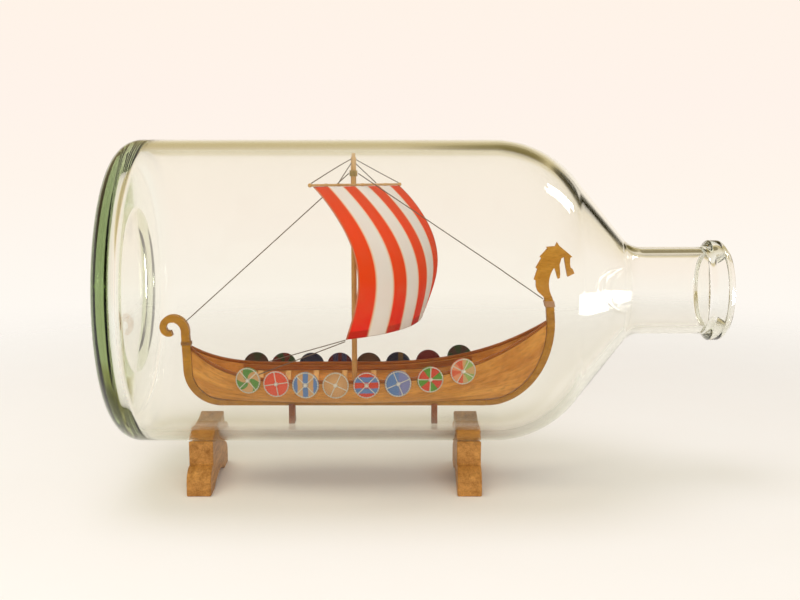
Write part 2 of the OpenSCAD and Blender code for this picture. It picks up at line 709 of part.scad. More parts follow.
// ---- rigging: taut thread from the mast to the posts, the yard and the rails ----
stern_tie = let (p = volute(0.15, 1)) [p[0] + line_r, 0, p[1]];
stem_tie = [head_x - line_r * 1.5, 0, stem_h - 0.6];
ring_mid = ring_z + ring_h / 2;
module line(from, to)
    color(thread)
    in_ship()
    rod(from, to, line_r);
reach = mast_r + ring_t + line_r;
module backstay() line([-reach, 0, ring_mid], stern_tie);
module forestay() line([reach, 0, ring_mid], stem_tie);

near_lift = 8.7;
far_lift = 9.7;
end_lift = 21.3;
lift_high = mast_top - 2.2;
lift_low = mast_top - 3.6;
on_top = [0, 0, yard_d / 2 + line_r];
function from_mast(d, z) = [sign(d) * (mast_r + line_r) * along[0], sign(d) * (mast_r + line_r) * along[1], z];
module near_end_lift() line(from_mast(-1, lift_high), on_yard(-end_lift) + on_top);
module near_inner_lift() line(from_mast(-1, lift_low), on_yard(-near_lift) + on_top);
module far_inner_lift() line(from_mast(1, lift_low), on_yard(far_lift) + on_top);
module far_end_lift() line(from_mast(1, lift_high), on_yard(end_lift) + on_top);

port_belay = -30;
starboard_belay = -32.5;
clew = sail_at(-1, 1) + [-0.2, 0, -line_r]; // both sheets are made fast to the starboard clew
under_clew = clew - [0, 0, line_d + 0.1];
function belay(x, side) = let (p = hull(s_at(x, 1), 1))
    [x, side * (p[1] + rail_w / 2 - rail_in), p[2] + rail_h + line_r];
module port_sheet() line(clew, belay(port_belay, port));
module starboard_sheet() line(under_clew, belay(starboard_belay, starboard));

lash_t = 0.25;
lash_gap = 0.2;
stem_lash_h = 2;
stern_lash_h = 1.2;
stem_angle = atan(stem_lean * 2 / 3 / (0.4 * (stem_h - stem_sheer))); // of the post's top part
module lashing(x, z, h, angle)
    color(thread)
    in_ship()
    translate([x, 0, z])
    rotate([0, -angle, 0])
    difference() {
        cube([post_w + 2 * (lash_t + lash_gap), post_t + 2 * (lash_t + lash_gap), h], center = true);
        cube([post_w + 2 * lash_gap, post_t + 2 * lash_gap, h + 2], center = true);
    }
module stern_lashing()
    lashing(stern_face + post_w / 2 - lean_at(volute_z - 5), volute_z - 5, stern_lash_h, 0);
module stem_lashing()
    lashing(head_x + post_w / 2 + 2.2 * tan(stem_angle), stem_h - 2.2, stem_lash_h, stem_angle);

base_end_cradle();
neck_end_cradle();
glass_bottle();
aft_prop();
fore_prop();
keel();
stem_post();
stern_post();
dragon_head();
port_garboard();
port_second_strake();
port_third_strake();
port_fourth_strake();
port_sheer_strake();
starboard_garboard();
starboard_second_strake();
starboard_third_strake();
starboard_fourth_strake();
starboard_sheer_strake();
port_gunwale();
starboard_gunwale();
port_stringer();
starboard_stringer();
ribs();
mast_step();
mast();
mast_ring();
yard();
sail();
port_shield_1();
port_shield_2();
port_shield_3();
port_shield_4();
port_shield_5();
port_shield_6();
port_shield_7();
port_shield_8();
starboard_shield_1();
starboard_shield_2();
starboard_shield_3();
starboard_shield_4();
starboard_shield_5();
starboard_shield_6();
starboard_shield_7();
starboard_shield_8();
port_shield_bands();
starboard_shield_bands();
port_shield_bosses();
starboard_shield_bosses();
backstay();
forestay();
near_end_lift();
near_inner_lift();
far_inner_lift();
far_end_lift();
port_sheet();
starboard_sheet();
stern_lashing();
stem_lashing();
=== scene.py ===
import bmesh, bpy, math
from mathutils import Matrix, Vector


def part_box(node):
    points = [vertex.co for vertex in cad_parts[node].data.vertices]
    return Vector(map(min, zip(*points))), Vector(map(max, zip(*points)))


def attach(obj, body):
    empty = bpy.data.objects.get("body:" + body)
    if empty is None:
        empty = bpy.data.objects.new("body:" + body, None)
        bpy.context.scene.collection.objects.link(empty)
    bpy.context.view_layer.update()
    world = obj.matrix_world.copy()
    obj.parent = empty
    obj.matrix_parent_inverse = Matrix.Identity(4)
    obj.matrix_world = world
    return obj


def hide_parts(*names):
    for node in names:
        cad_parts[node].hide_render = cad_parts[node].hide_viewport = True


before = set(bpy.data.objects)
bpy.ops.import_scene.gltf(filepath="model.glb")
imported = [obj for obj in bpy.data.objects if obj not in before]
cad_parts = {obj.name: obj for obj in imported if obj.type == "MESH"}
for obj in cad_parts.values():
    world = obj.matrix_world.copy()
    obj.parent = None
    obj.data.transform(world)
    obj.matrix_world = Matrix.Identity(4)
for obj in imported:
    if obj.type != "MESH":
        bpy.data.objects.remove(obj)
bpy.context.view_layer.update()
mm = 0.001


# ---- Cradles ----
# Two blocks of dark hardwood, band-sawn with a round saddle, a moulded curve on each side and a
# shallow arch between the feet, then sanded so that every edge is a little soft, and oiled.
class Wire:
    """A material's socket. Arithmetic on it adds the Math nodes."""

    def __init__(self, finish, socket):
        self.finish, self.socket = finish, socket

    def maths(self, operation, a, b=None):
        return self.finish.add("ShaderNodeMath", {"operation": operation}, {0: a, 1: b})

    def __add__(self, other): return self.maths("ADD", self, other)
    def __radd__(self, other): return self.maths("ADD", other, self)
    def __sub__(self, other): return self.maths("SUBTRACT", self, other)
    def __rsub__(self, other): return self.maths("SUBTRACT", other, self)
    def __mul__(self, other): return self.maths("MULTIPLY", self, other)
    def __rmul__(self, other): return self.maths("MULTIPLY", other, self)
    def __truediv__(self, other): return self.maths("DIVIDE", self, other)
    def __gt__(self, other): return self.maths("GREATER_THAN", self, other)
    def __lt__(self, other): return self.maths("LESS_THAN", self, other)
    def __abs__(self): return self.maths("ABSOLUTE", self)


def new_node(tree, kind, settings=None, sockets=None):
    """Adds a node. Its settings are set first, and a socket takes a value, a wire or a list of them."""
    node = tree.nodes.new(kind)
    for key, value in (settings or {}).items():
        if key == "stops":
            ramp = node.color_ramp.elements
            while len(ramp) < len(value):
                ramp.new(0.5)
            for element, (place, colour) in zip(ramp, value):
                element.position, element.color = place, (*colour, 1)
        else:
            setattr(node, key, value)
    for key, value in (sockets or {}).items():
        for one in value if isinstance(value, list) else [value]:
            one = one.socket if isinstance(one, Wire) else one
            if isinstance(one, bpy.types.NodeSocket):
                tree.links.new(one, node.inputs[key])
            elif one is not None:
                node.inputs[key].default_value = one
    return node


class Finish:
    """A material, built node by node, that ends in one Principled shader."""

    def __init__(self, name, **constants):
        self.material = bpy.data.materials.new(name)
        self.material.use_nodes = True
        self.tree = self.material.node_tree
        self.tree.nodes.clear()
        self.out = self.tree.nodes.new("ShaderNodeOutputMaterial")
        self.shader = self.tree.nodes.new("ShaderNodeBsdfPrincipled")
        self.tree.links.new(self.shader.outputs[0], self.out.inputs["Surface"])
        for key, value in constants.items():
            self.shader.inputs[key.replace("_", " ")].default_value = value

    def add(self, kind, settings=None, sockets=None, out=0):
        return Wire(self, new_node(self.tree, kind, settings, sockets).outputs[out])

    def feed(self, key, wire):
        self.tree.links.new(wire.socket, self.shader.inputs[key])
        return self

    def mix(self, share, a, b):
        def colour(c):
            return (*c, 1) if isinstance(c, tuple) else c
        return self.add("ShaderNodeMix", {"data_type": "RGBA"}, {0: share, 6: colour(a), 7: colour(b)}, out=2)

    def bump(self, height, depth, strength=1.0):
        return self.feed("Normal", self.add("ShaderNodeBump", None,
                                            {"Strength": strength, "Distance": depth, "Height": height}))


def linear(*rgb):
    """A colour in display values from 0 to 255, as the linear values that a socket takes."""
    return tuple(c / 12.92 if c <= 0.04045 else ((c + 0.055) / 1.055) ** 2.4
                 for c in (v / 255 for v in rgb))


def wood(name, pale, dark, grain, rings=0.35, fleck=0.25, roughness=0.42, source="Object", coat=0.125):
    """grain is the length in mm of the streaks along each axis of the coordinates."""
    f = Finish(name, Coat_Weight=coat, Coat_Roughness=0.3, Specular_IOR_Level=0.2)
    place = f.add("ShaderNodeTexCoord", out=source)
    streak = f.add("ShaderNodeMapping", None, {"Vector": place, "Scale": tuple(1 / (g * mm) for g in grain)})
    broad = f.add("ShaderNodeTexNoise", None, {"Vector": streak, "Scale": 0.35, "Detail": 3.0,
                                               "Roughness": 0.55, "Distortion": 0.4})
    fine = f.add("ShaderNodeTexNoise", None, {"Vector": streak, "Scale": 1.0, "Detail": 6.0,
                                              "Roughness": 0.7, "Distortion": 0.15})
    pores = f.add("ShaderNodeTexNoise", None, {"Vector": streak, "Scale": 3.4, "Detail": 2.0, "Roughness": 0.6})
    tone = f.add("ShaderNodeMapRange", None, {"Value": broad * rings + fine * (1 - rings),
                                              "From Min": 0.32, "From Max": 0.68})
    body = f.mix(tone, dark, pale)
    pore = f.add("ShaderNodeMapRange", None, {"Value": pores, "From Min": 0.38, "From Max": 0.5})
    deep = tuple(c * 0.45 for c in dark)
    f.feed("Base Color", f.mix((1 - pore) * fleck, body, deep))
    f.feed("Roughness", roughness + 0.16 * (1 - fine))
    f.bump(pores * 0.5 + fine * 0.5, 0.12 * mm, 0.5)
    return f.material


def mesh_piece(name, points, faces, material, smooth=False, uv=None):
    mesh = bpy.data.meshes.new(name)
    mesh.from_pydata([tuple(p) for p in points], [], faces)
    if uv:
        layer = mesh.uv_layers.new(name="flat")
        for loop in mesh.loops:
            layer.data[loop.index].uv = uv[loop.vertex_index]
    mesh.materials.append(material)
    for face in mesh.polygons:
        face.use_smooth = smooth
    piece = bpy.data.objects.new(name, mesh)
    bpy.context.scene.collection.objects.link(piece)
    return piece


def finish_piece(piece, body, slot, *nodes):
    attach(piece, body)
    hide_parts(*nodes)
    return piece


def outward(piece):
    shape = bmesh.new()
    shape.from_mesh(piece.data)
    bmesh.ops.remove_doubles(shape, verts=shape.verts, dist=1e-7)
    bmesh.ops.recalc_face_normals(shape, faces=shape.faces)
    shape.to_mesh(piece.data)
    shape.free()
    return piece


def sawn(name, outline, low, high, place, material, edge, segments=2):
    """A board with its outline in a plane and its faces at low and high across it."""
    n = len(outline)
    points = [place(a, b, t) for t in (low, high) for a, b in outline]
    faces = [tuple(range(n)), tuple(range(2 * n - 1, n - 1, -1))]
    faces += [(i, (i + 1) % n, n + (i + 1) % n, n + i) for i in range(n)]
    piece = outward(mesh_piece(name, points, faces, material))
    soften = piece.modifiers.new("edge", "BEVEL")
    soften.width, soften.segments, soften.limit_method = edge, segments, "ANGLE"
    soften.angle_limit = math.radians(28)
    for face in piece.data.polygons:
        face.use_smooth = True
    piece.data.set_sharp_from_angle(angle=math.radians(35))
    return piece


def arc(cx, cy, r, start, end, steps):
    return [(cx + r * math.cos(math.radians(start + (end - start) * i / steps)),
             cy + r * math.sin(math.radians(start + (end - start) * i / steps))) for i in range(steps + 1)]


glass_low, glass_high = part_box("glass_bottle")
axis = Vector((0, 0, (glass_low.z + glass_high.z) / 2))
body_r = (glass_high.y - glass_low.y) / 2
seat_gap = 0.3 * mm
arch_w, arch_h = 24 * mm, 2.6 * mm
foot_h, ogee_h = 4.2 * mm, 4.8 * mm
cradle_wood = wood("oiled cradle wood", linear(216, 156, 82), linear(144, 92, 36), (1.6, 9, 1.3),
                   roughness=0.4, coat=0.175)
for node in ("base_end_cradle", "neck_end_cradle"):
    low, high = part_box(node)
    half, saddle = high.y, 14 * mm
    seat_r = body_r + seat_gap
    side = [(half, 0)]
    side += [(saddle + (half - saddle) * math.sin(math.radians(a)), foot_h + ogee_h * math.cos(math.radians(a)))
             for a in range(90, -1, -9)]
    tip = math.degrees(math.asin(saddle / seat_r))
    seat = [(seat_r * math.sin(math.radians(a)), axis.z - seat_r * math.cos(math.radians(a)))
            for a in [tip - 2 * tip * i / 28 for i in range(29)]]
    arch_r = (arch_w ** 2 / 4 + arch_h ** 2) / (2 * arch_h)
    reach = math.degrees(math.asin(arch_w / 2 / arch_r))
    under = [(arch_r * math.sin(math.radians(a)), arch_h - arch_r + arch_r * math.cos(math.radians(a)))
             for a in [-reach + 2 * reach * i / 16 for i in range(17)]]
    outline = side + seat + [(-a, b) for a, b in reversed(side)] + under
    cradle = sawn(node + "_block", outline, low.x, high.x, lambda a, b, t: (t, a, b), cradle_wood, 0.45 * mm, 3)
    finish_piece(cradle, "stand", "cradle_wood", node)

# ---- Keel, stem and stern ----
# The keel is a straight batten. The stem and the stern post are fretted from thin board: the
# stem sweeps up in a quarter oval, and the stern post rolls over into a volute.
ship = Vector(((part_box("mast")[0].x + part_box("mast")[1].x) / 2, 0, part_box("keel")[0].z))
keel_low, keel_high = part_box("keel")
keel_fore, keel_aft, keel_h = keel_high.x - ship.x, ship.x - keel_low.x, keel_high.z - keel_low.z
post_t = keel_high.y - keel_low.y
post_w = 2.9 * mm
stem_low, stem_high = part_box("stem_post")
stem_reach, stem_h = stem_high.x - keel_high.x, stem_high.z - ship.z
stem_sheer, stem_lean = 28.3 * mm, 1.2 * mm
stern_r, stern_sheer, stern_lean = 13.1 * mm, 19.7 * mm, 0.6 * mm
volute_z, volute_r = 26.7 * mm, 5.28 * mm
carved_wood = wood("varnished carved wood", linear(206, 147, 42), linear(156, 99, 15), (7, 1.0, 2.2),
                   roughness=0.38, coat=0.15)


def between(a, b, share):
    return a + (b - a) * share


def in_ship(a, b, t):
    return (ship.x + a, t, ship.z + b)


keel = sawn("keel_batten", [(-keel_aft, 0), (keel_fore, 0), (keel_fore, keel_h), (-keel_aft, keel_h)],
            -post_t / 2, post_t / 2, in_ship, carved_wood, 0.15 * mm)
finish_piece(keel, "bottle", "carved_wood", "keel")

sweep = [90 * i / 32 for i in range(33)]
stem_top = [(keel_fore + stem_reach - stem_lean / 3, between(stem_sheer, stem_h, 0.6)),
            (keel_fore + stem_reach - stem_lean, stem_h)]
stem_outer = [(keel_fore + stem_reach * math.sin(math.radians(a)),
               stem_sheer * (1 - math.cos(math.radians(a)))) for a in sweep] + stem_top
stem_inner = []
for a in sweep:
    w = between(keel_h, post_w, a / 90)
    stem_inner.append((keel_fore + (stem_reach - w) * math.sin(math.radians(a)),
                       stem_sheer - (stem_sheer - w) * math.cos(math.radians(a))))
stem_inner += [(x - post_w, z) for x, z in stem_top]
stem = sawn("stem_board", stem_outer + stem_inner[::-1], -post_t / 2, post_t / 2, in_ship, carved_wood, 0.3 * mm)
finish_piece(stem, "bottle", "carved_wood", "stem_post")

stern_face = -keel_aft - stern_r
volute_x = stern_face - stern_lean + post_w / 2 - volute_r * math.cos(math.radians(20))


def lean_at(z):
    return stern_lean * max(0, z - stern_r) / (volute_z - stern_r)


def volute(share, side):
    a = math.radians(between(-20, 290, share))
    r = volute_r * math.exp(-1.26 * share)
    w = between(post_w, post_w * 0.62, share)
    return (volute_x + (r + side * w / 2) * math.cos(a), volute_z + (r + side * w / 2) * math.sin(a))


turns = [i / 60 for i in range(61)]
stern_outer = [(-keel_aft - stern_r * math.sin(math.radians(a)), stern_r * (1 - math.cos(math.radians(a))))
               for a in sweep]
stern_outer += [(stern_face - lean_at(volute_z - volute_r), volute_z - volute_r)]
stern_outer += [volute(s, -1) for s in turns]
stern_inner = []
for a in sweep:
    w = between(keel_h, post_w, a / 90)
    stern_inner.append((-keel_aft - (stern_r - w) * math.sin(math.radians(a)),
                        stern_r - (stern_r - w) * math.cos(math.radians(a))))
stern_inner += [(stern_face + post_w - lean_at(volute_z - volute_r), volute_z - volute_r)]
stern_inner += [volute(s, 1) for s in turns]
stern = sawn("stern_board", stern_outer + stern_inner[::-1], -post_t / 2, post_t / 2, in_ship, carved_wood,
             0.3 * mm)
finish_piece(stern, "bottle", "carved_wood", "stern_post")

# ---- Dragon head ----
# A flat fretted board, glued edge on to the top of the stem, with a saw-tooth mane. Only its
# edges are eased, and its faces keep the straight grain of the board.
head_low, head_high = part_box("dragon_head")
head_t = head_high.y - head_low.y
head_x = keel_fore + stem_reach - stem_lean - post_w


def nape(a, r):
    return (15.1 + r * math.cos(math.radians(a)), 5.4 + r * math.sin(math.radians(a)))


head = [(0, 0), (-2.2, 2), (-2.8, 3.5)]
for i in range(4):
    head += [nape(178.6 - 12.1 * i, 18), nape(178.2 - 12.1 * i, 18.65)]
head += [(3.6, 17.2), (4.2, 18.5), (5, 17.4)]
head += [(9.8, 13.8), (9, 13.4), (9, 11.3), (9.3, 10), (10, 9.7), (10.8, 8.2)]
head += [(8.2, 7), (7.5, 10), (6.8, 13.7), (5.8, 13.2)]
head += [(5.2, 11.1), (5.5, 8), (5.4, 6.6), (4.7, 6.3), (4, 8.5), (3.6, 9.6)]
head += arc(10.8, 4.7, 9.2, 145.5, 210.7, 12)
head = [(head_x + a * mm, stem_h + b * mm) for a, b in head] + [(head_x + post_w, stem_h)]
head_wood = wood("bare head wood", linear(222, 162, 66), linear(186, 122, 34), (5, 1.0, 1.4),
                 roughness=0.5, coat=0.05)
dragon = sawn("dragon_board", head, -head_t / 2, head_t / 2, in_ship, head_wood, 0.07 * mm)
finish_piece(dragon, "bottle", "carved_wood", "dragon_head")

# ---- Planks ----
# Five thin planks a side, steamed and bent from post to post. Each one laps over the one below,
# so every joint shows as a step with a thin shadow under it. The grain follows the plank.
beam, hull_h = 27 * mm, 11.1 * mm
plank_t, plank_lap, strakes = 0.5 * mm, 0.22, 5
post_in = plank_t / 2


def edge_w(a):
    return between(keel_h + plank_t, post_w, a / 90)


def hull(s, t):
    k = abs(s)
    if s < 0:
        a = 90 * min(1, t / 0.7)
        z = (stern_r - (stern_r - edge_w(a)) * math.cos(math.radians(a)) if t < 0.7
             else between(stern_r, stern_sheer, (t - 0.7) / 0.3))
        x = -keel_aft - (stern_r - edge_w(a)) * math.sin(math.radians(a)) - lean_at(z)
    else:
        a = 90 * t
        x = keel_fore + (stem_reach - edge_w(a)) * math.sin(math.radians(a))
        z = stem_sheer - (stem_sheer - edge_w(a)) * math.cos(math.radians(a))
    full, rise = (between(2, 3.1, t), 5) if s < 0 else (between(1.6, 2, t), 2.6)
    turn = math.radians(80)
    y_mid = between(post_in, beam / 2, math.sin(turn * t) / math.sin(turn))
    z_mid = between(keel_h + plank_t, hull_h, (1 - math.cos(turn * t)) / (1 - math.cos(turn)))
    return Vector((x * k, between(y_mid, post_in, k ** full), between(z_mid, z, k ** rise)))


def skin(s, t, out):
    a, b = hull(s, max(0, t - 0.01)), hull(s, min(1, t + 0.01))
    d = Vector((0, b.y - a.y, b.z - a.z)).normalized()
    return hull(s, t) + Vector((0, d.z, -d.y)) * out


def to_row(p, side):
    return (ship.x + p.x, p.y * side, ship.z + p.z)


def loft(name, rows, material, uv, node, slot, smooth_angle=32):
    """Skins a bar or plank: rows[i] is one closed section, and the ends are capped."""
    n, m = len(rows), len(rows[0])
    points = [p for row in rows for p in row]
    faces = [(i * m + j, i * m + (j + 1) % m, (i + 1) * m + (j + 1) % m, (i + 1) * m + j)
             for i in range(n - 1) for j in range(m)]
    faces += [tuple(range(m - 1, -1, -1)), tuple((n - 1) * m + j for j in range(m))]
    piece = mesh_piece(name, points, faces, material, uv=uv)
    shape = bmesh.new()
    shape.from_mesh(piece.data)
    bmesh.ops.recalc_face_normals(shape, faces=shape.faces)
    shape.to_mesh(piece.data)
    shape.free()
    for face in piece.data.polygons:
        face.use_smooth = True
    piece.data.set_sharp_from_angle(angle=math.radians(smooth_angle))
    return finish_piece(piece, "bottle", slot, node)


plank_wood = wood("varnished planking", linear(250, 182, 88), linear(186, 108, 28), (9, 1.1, 1.0),
                  rings=0.55, fleck=0.3, roughness=0.36, source="UV", coat=0.15)
names = ["garboard", "second_strake", "third_strake", "fourth_strake", "sheer_strake"]
along = [-0.998 + 1.996 * i / 72 for i in range(73)]
for side, board in ((1, "port"), (-1, "starboard")):
    for number, name in enumerate(names):
        low, high, lap = number / strakes, (number + 1) / strakes, plank_lap / strakes
        edges = [low - lap, low, low + 0.25 / strakes, low + 0.5 / strakes, high - lap, high]
        proud = [plank_t, plank_t, plank_t * 0.66, plank_t * 0.33, 0, 0]
        if number == 0:
            edges[0], edges[1], proud = low, low + lap, [0] * 6
        rows, uv, run, last = [], [], 0, None
        for s in along:
            inner = [skin(s, t, o) for t, o in zip(edges, proud)]
            outer = [skin(s, t, o + plank_t) for t, o in zip(edges, proud)]
            run += 0 if last is None else (inner[2] - last).length
            last = inner[2]
            rows.append([to_row(p, side) for p in inner + outer[::-1]])
            across = [0, 0.4, 1, 2, 3, 4]
            shift = (number * 17 + (side + 1) * 43) * mm
            uv += [(run + shift * 3, a * 0.7 * mm + shift) for a in across + [a + 8 for a in across[::-1]]]
        loft(board + "_" + name + "_plank", rows, plank_wood, uv, board + "_" + name, "plank_wood", 26)

# ---- Rails and stringers ----
# A square rail caps the top plank from post to post, and a flat stringer is glued inside the
# planking, where it carries the heads of the ribs. Both are darker than the planks.
rail_w, rail_h = 1.5 * mm, 1 * mm
rail_in = (rail_w - plank_t) / 2
stringer_h, rib_t, rib_gap = 1.2 * mm, 0.9 * mm, 0.2 * mm
rail_wood = wood("dark rail wood", linear(184, 104, 20), linear(124, 60, 4), (8, 1.2, 0.9),
                 roughness=0.4, source="UV", coat=0.15)
rail_section = [(0.1, 0), (0.9, 0), (1, 0.12), (1, 0.8), (0.86, 1), (0.14, 1), (0, 0.8), (0, 0.12)]


def shield_x(i):
    return (9.35 * i + 0.23 * i * (i - 1) / 2 - 34.4) * mm


def share_at(x, t):
    return -x / hull(-1, t).x if x < 0 else x / hull(1, t).x


stringer_low = 1 - stringer_h / (hull_h - keel_h)
for side, board in ((1, "port"), (-1, "starboard")):
    rows, uv = [], []
    for i, s in enumerate(along):
        p = hull(s, 1)
        y0, y1 = -post_in + 0.02 * mm, rail_w - rail_in
        rows.append([to_row(p + Vector((0, between(y0, y1, a), rail_h * b)), side) for a, b in rail_section])
        uv += [(i * 1.7 * mm + side, j * 0.6 * mm) for j in range(8)]
    loft(board + "_rail", rows, rail_wood, uv, board + "_gunwale", "rail_wood", 60)
    rows, uv = [], []
    for i in range(41):
        x = between(shield_x(0) - 4 * mm, shield_x(7) + 4 * mm, i / 40)
        row = []
        for t, out in ((stringer_low, -rib_gap), (0.985, -rib_gap), (0.985, -rib_gap - rib_t),
                       (stringer_low, -rib_gap - rib_t)):
            row.append(to_row(skin(share_at(x, t), t, out), side))
        rows.append(row)
        uv += [(i * 2 * mm + side * 2, j * 0.9 * mm) for j in range(4)]
    loft(board + "_stringer_strip", rows, rail_wood, uv, board + "_stringer", "rail_wood", 40)

# ---- Ribs and mast step ----
# Eight thin ribs are bent across the keel inside the planks, and a small block with a socket for
# the mast stands between two of them. They are left pale and unvarnished.
rib_wood = wood("bare rib wood", linear(250, 204, 136), linear(222, 168, 98), (1.6, 6, 3),
                roughness=0.6, coat=0.0)


def leave_as_cut(node, material):
    """Keeps the solid's own mesh and gives it its finish."""
    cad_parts[node].data.materials.clear()
    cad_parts[node].data.materials.append(material)


leave_as_cut("ribs", rib_wood)
leave_as_cut("mast_step", rib_wood)

# ---- Mast, ring and yard ----
# The mast is a turned stick with a thinner tip, and a collar on it holds the stays. The yard is a
# thinner stick with a knob at each end, lashed across the fore side of the mast and braced round.
mast_low, mast_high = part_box("mast")
mast_r = (mast_high.y - mast_low.y) / 2
spar_wood = wood("turned spar wood", linear(240, 194, 128), linear(200, 148, 78), (1.0, 1.0, 8),
                 roughness=0.45, coat=0.075)


def turned(name, profile, start, end, material, segments=32):
    """Turns a profile of (distance along, radius) about the line from start to end."""
    aim = (end - start).normalized()
    spin = Vector((0, 0, 1)).rotation_difference(aim).to_matrix()
    points, faces = [], []
    for h, r in profile:
        for k in range(segments):
            a = 2 * math.pi * k / segments
            points.append(start + spin @ Vector((r * math.cos(a), r * math.sin(a), h)))
    n = len(profile)
    faces = [(i * segments + k, i * segments + (k + 1) % segments,
              (i + 1) * segments + (k + 1) % segments, (i + 1) * segments + k)
             for i in range(n - 1) for k in range(segments)]
    faces += [tuple(range(segments - 1, -1, -1)), tuple((n - 1) * segments + k for k in range(segments))]
    piece = outward(mesh_piece(name, points, faces, material))
    for face in piece.data.polygons:
        face.use_smooth = True
    piece.data.set_sharp_from_angle(angle=math.radians(40))
    return piece


tip = 1.4 * mm
foot = mast_low.z
head_z = mast_high.z - tip
mast = turned("mast_stick", [(0, mast_r - 0.1 * mm), (0.1 * mm, mast_r), (head_z - foot - 5.9 * mm, mast_r),
                             (head_z - foot - 5.7 * mm, mast_r * 0.97), (head_z - foot - 0.25 * mm, mast_r),
                             (head_z - foot, mast_r * 0.8), (head_z - foot, mast_r * 0.7),
                             (mast_high.z - foot - 0.15 * mm, mast_r * 0.68), (mast_high.z - foot, mast_r * 0.5)],
              Vector((ship.x, 0, foot)), Vector((ship.x, 0, mast_high.z)), spar_wood)
finish_piece(mast, "bottle", "spar_wood", "mast")

ring_wood = wood("pale ring wood", linear(196, 164, 78), linear(146, 118, 50), (1, 1, 3), roughness=0.5)
leave_as_cut("mast_ring", ring_wood)

yard_turn, yard_tilt = math.radians(50), math.radians(1)
yard_len, yard_r, cleat_out = 44 * mm, 0.4 * mm, 0.1 * mm
spar = Vector((math.cos(yard_turn) * math.cos(yard_tilt), math.sin(yard_turn) * math.cos(yard_tilt),
               -math.sin(yard_tilt)))
ahead = Vector((math.sin(yard_turn), -math.cos(yard_turn), 0))
yard_mid = Vector((ship.x, 0, mast_high.z - 10.6 * mm)) + ahead * (mast_r + yard_r + 0.03 * mm)
knob = 0.65 * mm
rounding = [(knob * (1 - math.cos(math.radians(a))), knob * math.sin(math.radians(a))) for a in range(10, 141, 13)]
profile = rounding + [(1.8 * mm, yard_r * 0.95)]
for d in (-14.6, -8.5, 3.1, 14.6):
    h = yard_len / 2 + knob + d * mm
    profile += [(h - 0.5 * mm, yard_r), (h - 0.45 * mm, yard_r + cleat_out), (h + 0.45 * mm, yard_r + cleat_out),
                (h + 0.5 * mm, yard_r)]
profile += [(yard_len + 2 * knob - h, r) for h, r in reversed(rounding + [(1.8 * mm, yard_r * 0.95)])]
yard = turned("yard_stick", profile, yard_mid - spar * (yard_len / 2 + knob),
              yard_mid + spar * (yard_len / 2 + knob), spar_wood, 24)
finish_piece(yard, "bottle", "spar_wood", "yard")

# ---- Sail ----
# One sheet of fine cotton, dyed in seven equal stripes and stiffened so that it keeps its belly.
# It hangs from the yard, and its two foot corners are drawn aft by the sheets.
sail_w, sail_h, sail_t = 42 * mm, 46.6 * mm, 0.3 * mm
belly, foot_bow, head_bow = 11.5 * mm, 8 * mm, 1.4 * mm
drop = Vector((0, 0, yard_r + 0.15 * mm))
foot_turn = math.radians(55)
foot_mid = Vector((ship.x + 10.5 * mm, 0, yard_mid.z - drop.z - sail_h))
foot_half = Vector((21.9 * mm * math.cos(foot_turn), 21.9 * mm * math.sin(foot_turn), 1.2 * mm))
foot_ahead = Vector((math.sin(foot_turn), -math.cos(foot_turn), 0))


def sail_at(u, v):
    top = yard_mid + spar * (0.8 * mm + u * sail_w / 2) + ahead * (head_bow * (1 - u * u)) - drop
    foot = foot_mid + foot_half * u + foot_ahead * (foot_bow * (1 - u * u))
    return top.lerp(foot, v) + ahead * (belly * math.sin(math.pi * max(v, 0) ** 0.9))


across, down = 84, 96
points, uv, faces = [], [], []
for i in range(across + 1):
    for j in range(down + 1):
        u, v = i / across * 2 - 1, j / down
        ripple = 0.10 * mm * math.sin(u * 9 + v * 3) * math.sin(v * 5 + 1) * min(1, 6 * v)
        lace = 0.16 * mm * math.cos(u * math.pi * 9) * max(0, 1 - v * 14)
        points.append(sail_at(u, v) + ahead * (ripple + lace))
        uv.append((i / across, 1 - j / down))
for i in range(across):
    for j in range(down):
        a = i * (down + 1) + j
        faces.append((a, a + 1, a + down + 2, a + down + 1))
cloth = Finish("striped cotton", Specular_IOR_Level=0.1, Sheen_Weight=0.04, Sheen_Roughness=0.5)
flat = cloth.add("ShaderNodeTexCoord", out="UV")
split = cloth.add("ShaderNodeSeparateXYZ", None, {0: flat})
down_share = cloth.add("ShaderNodeSeparateXYZ", None, {0: flat}, out="Y")
stripe = split * 7
within = cloth.add("ShaderNodeMath", {"operation": "FRACT"}, {0: stripe})
index = cloth.add("ShaderNodeMath", {"operation": "FLOOR"}, {0: stripe})
is_white = cloth.add("ShaderNodeMath", {"operation": "MODULO"}, {0: index, 1: 2.0})
blotch = cloth.add("ShaderNodeTexNoise", None, {"Vector": flat, "Scale": 5.0, "Detail": 4.0, "Roughness": 0.6})
ramp_down = cloth.add("ShaderNodeMapRange", None, {"Value": down_share, "From Min": 0.02, "From Max": 0.45})
red = cloth.mix(ramp_down, linear(252, 26, 0), linear(255, 74, 20))
red = cloth.mix(cloth.add("ShaderNodeMapRange", None, {"Value": down_share, "From Min": 0.75, "From Max": 1.0}),
                red, linear(236, 74, 12))
red = cloth.mix(cloth.add("ShaderNodeMapRange", None, {"Value": blotch, "From Min": 0.45, "From Max": 0.8}),
                red, linear(250, 88, 44))
white = cloth.mix(blotch, linear(252, 234, 228), linear(255, 250, 248))
dyed = cloth.mix(is_white, red, white)
seam = abs(within - 0.5) > 0.446
dyed = cloth.mix(seam * 0.7, dyed, linear(252, 214, 176))
hem = down_share < 0.055
dyed = cloth.mix(hem * 0.45 * (1 - is_white), dyed, linear(150, 30, 4))
edge = cloth.add("ShaderNodeMath", {"operation": "MAXIMUM"}, {0: split < 0.012, 1: split > 0.988})
dyed = cloth.mix(edge * 0.5, dyed, linear(196, 70, 14))
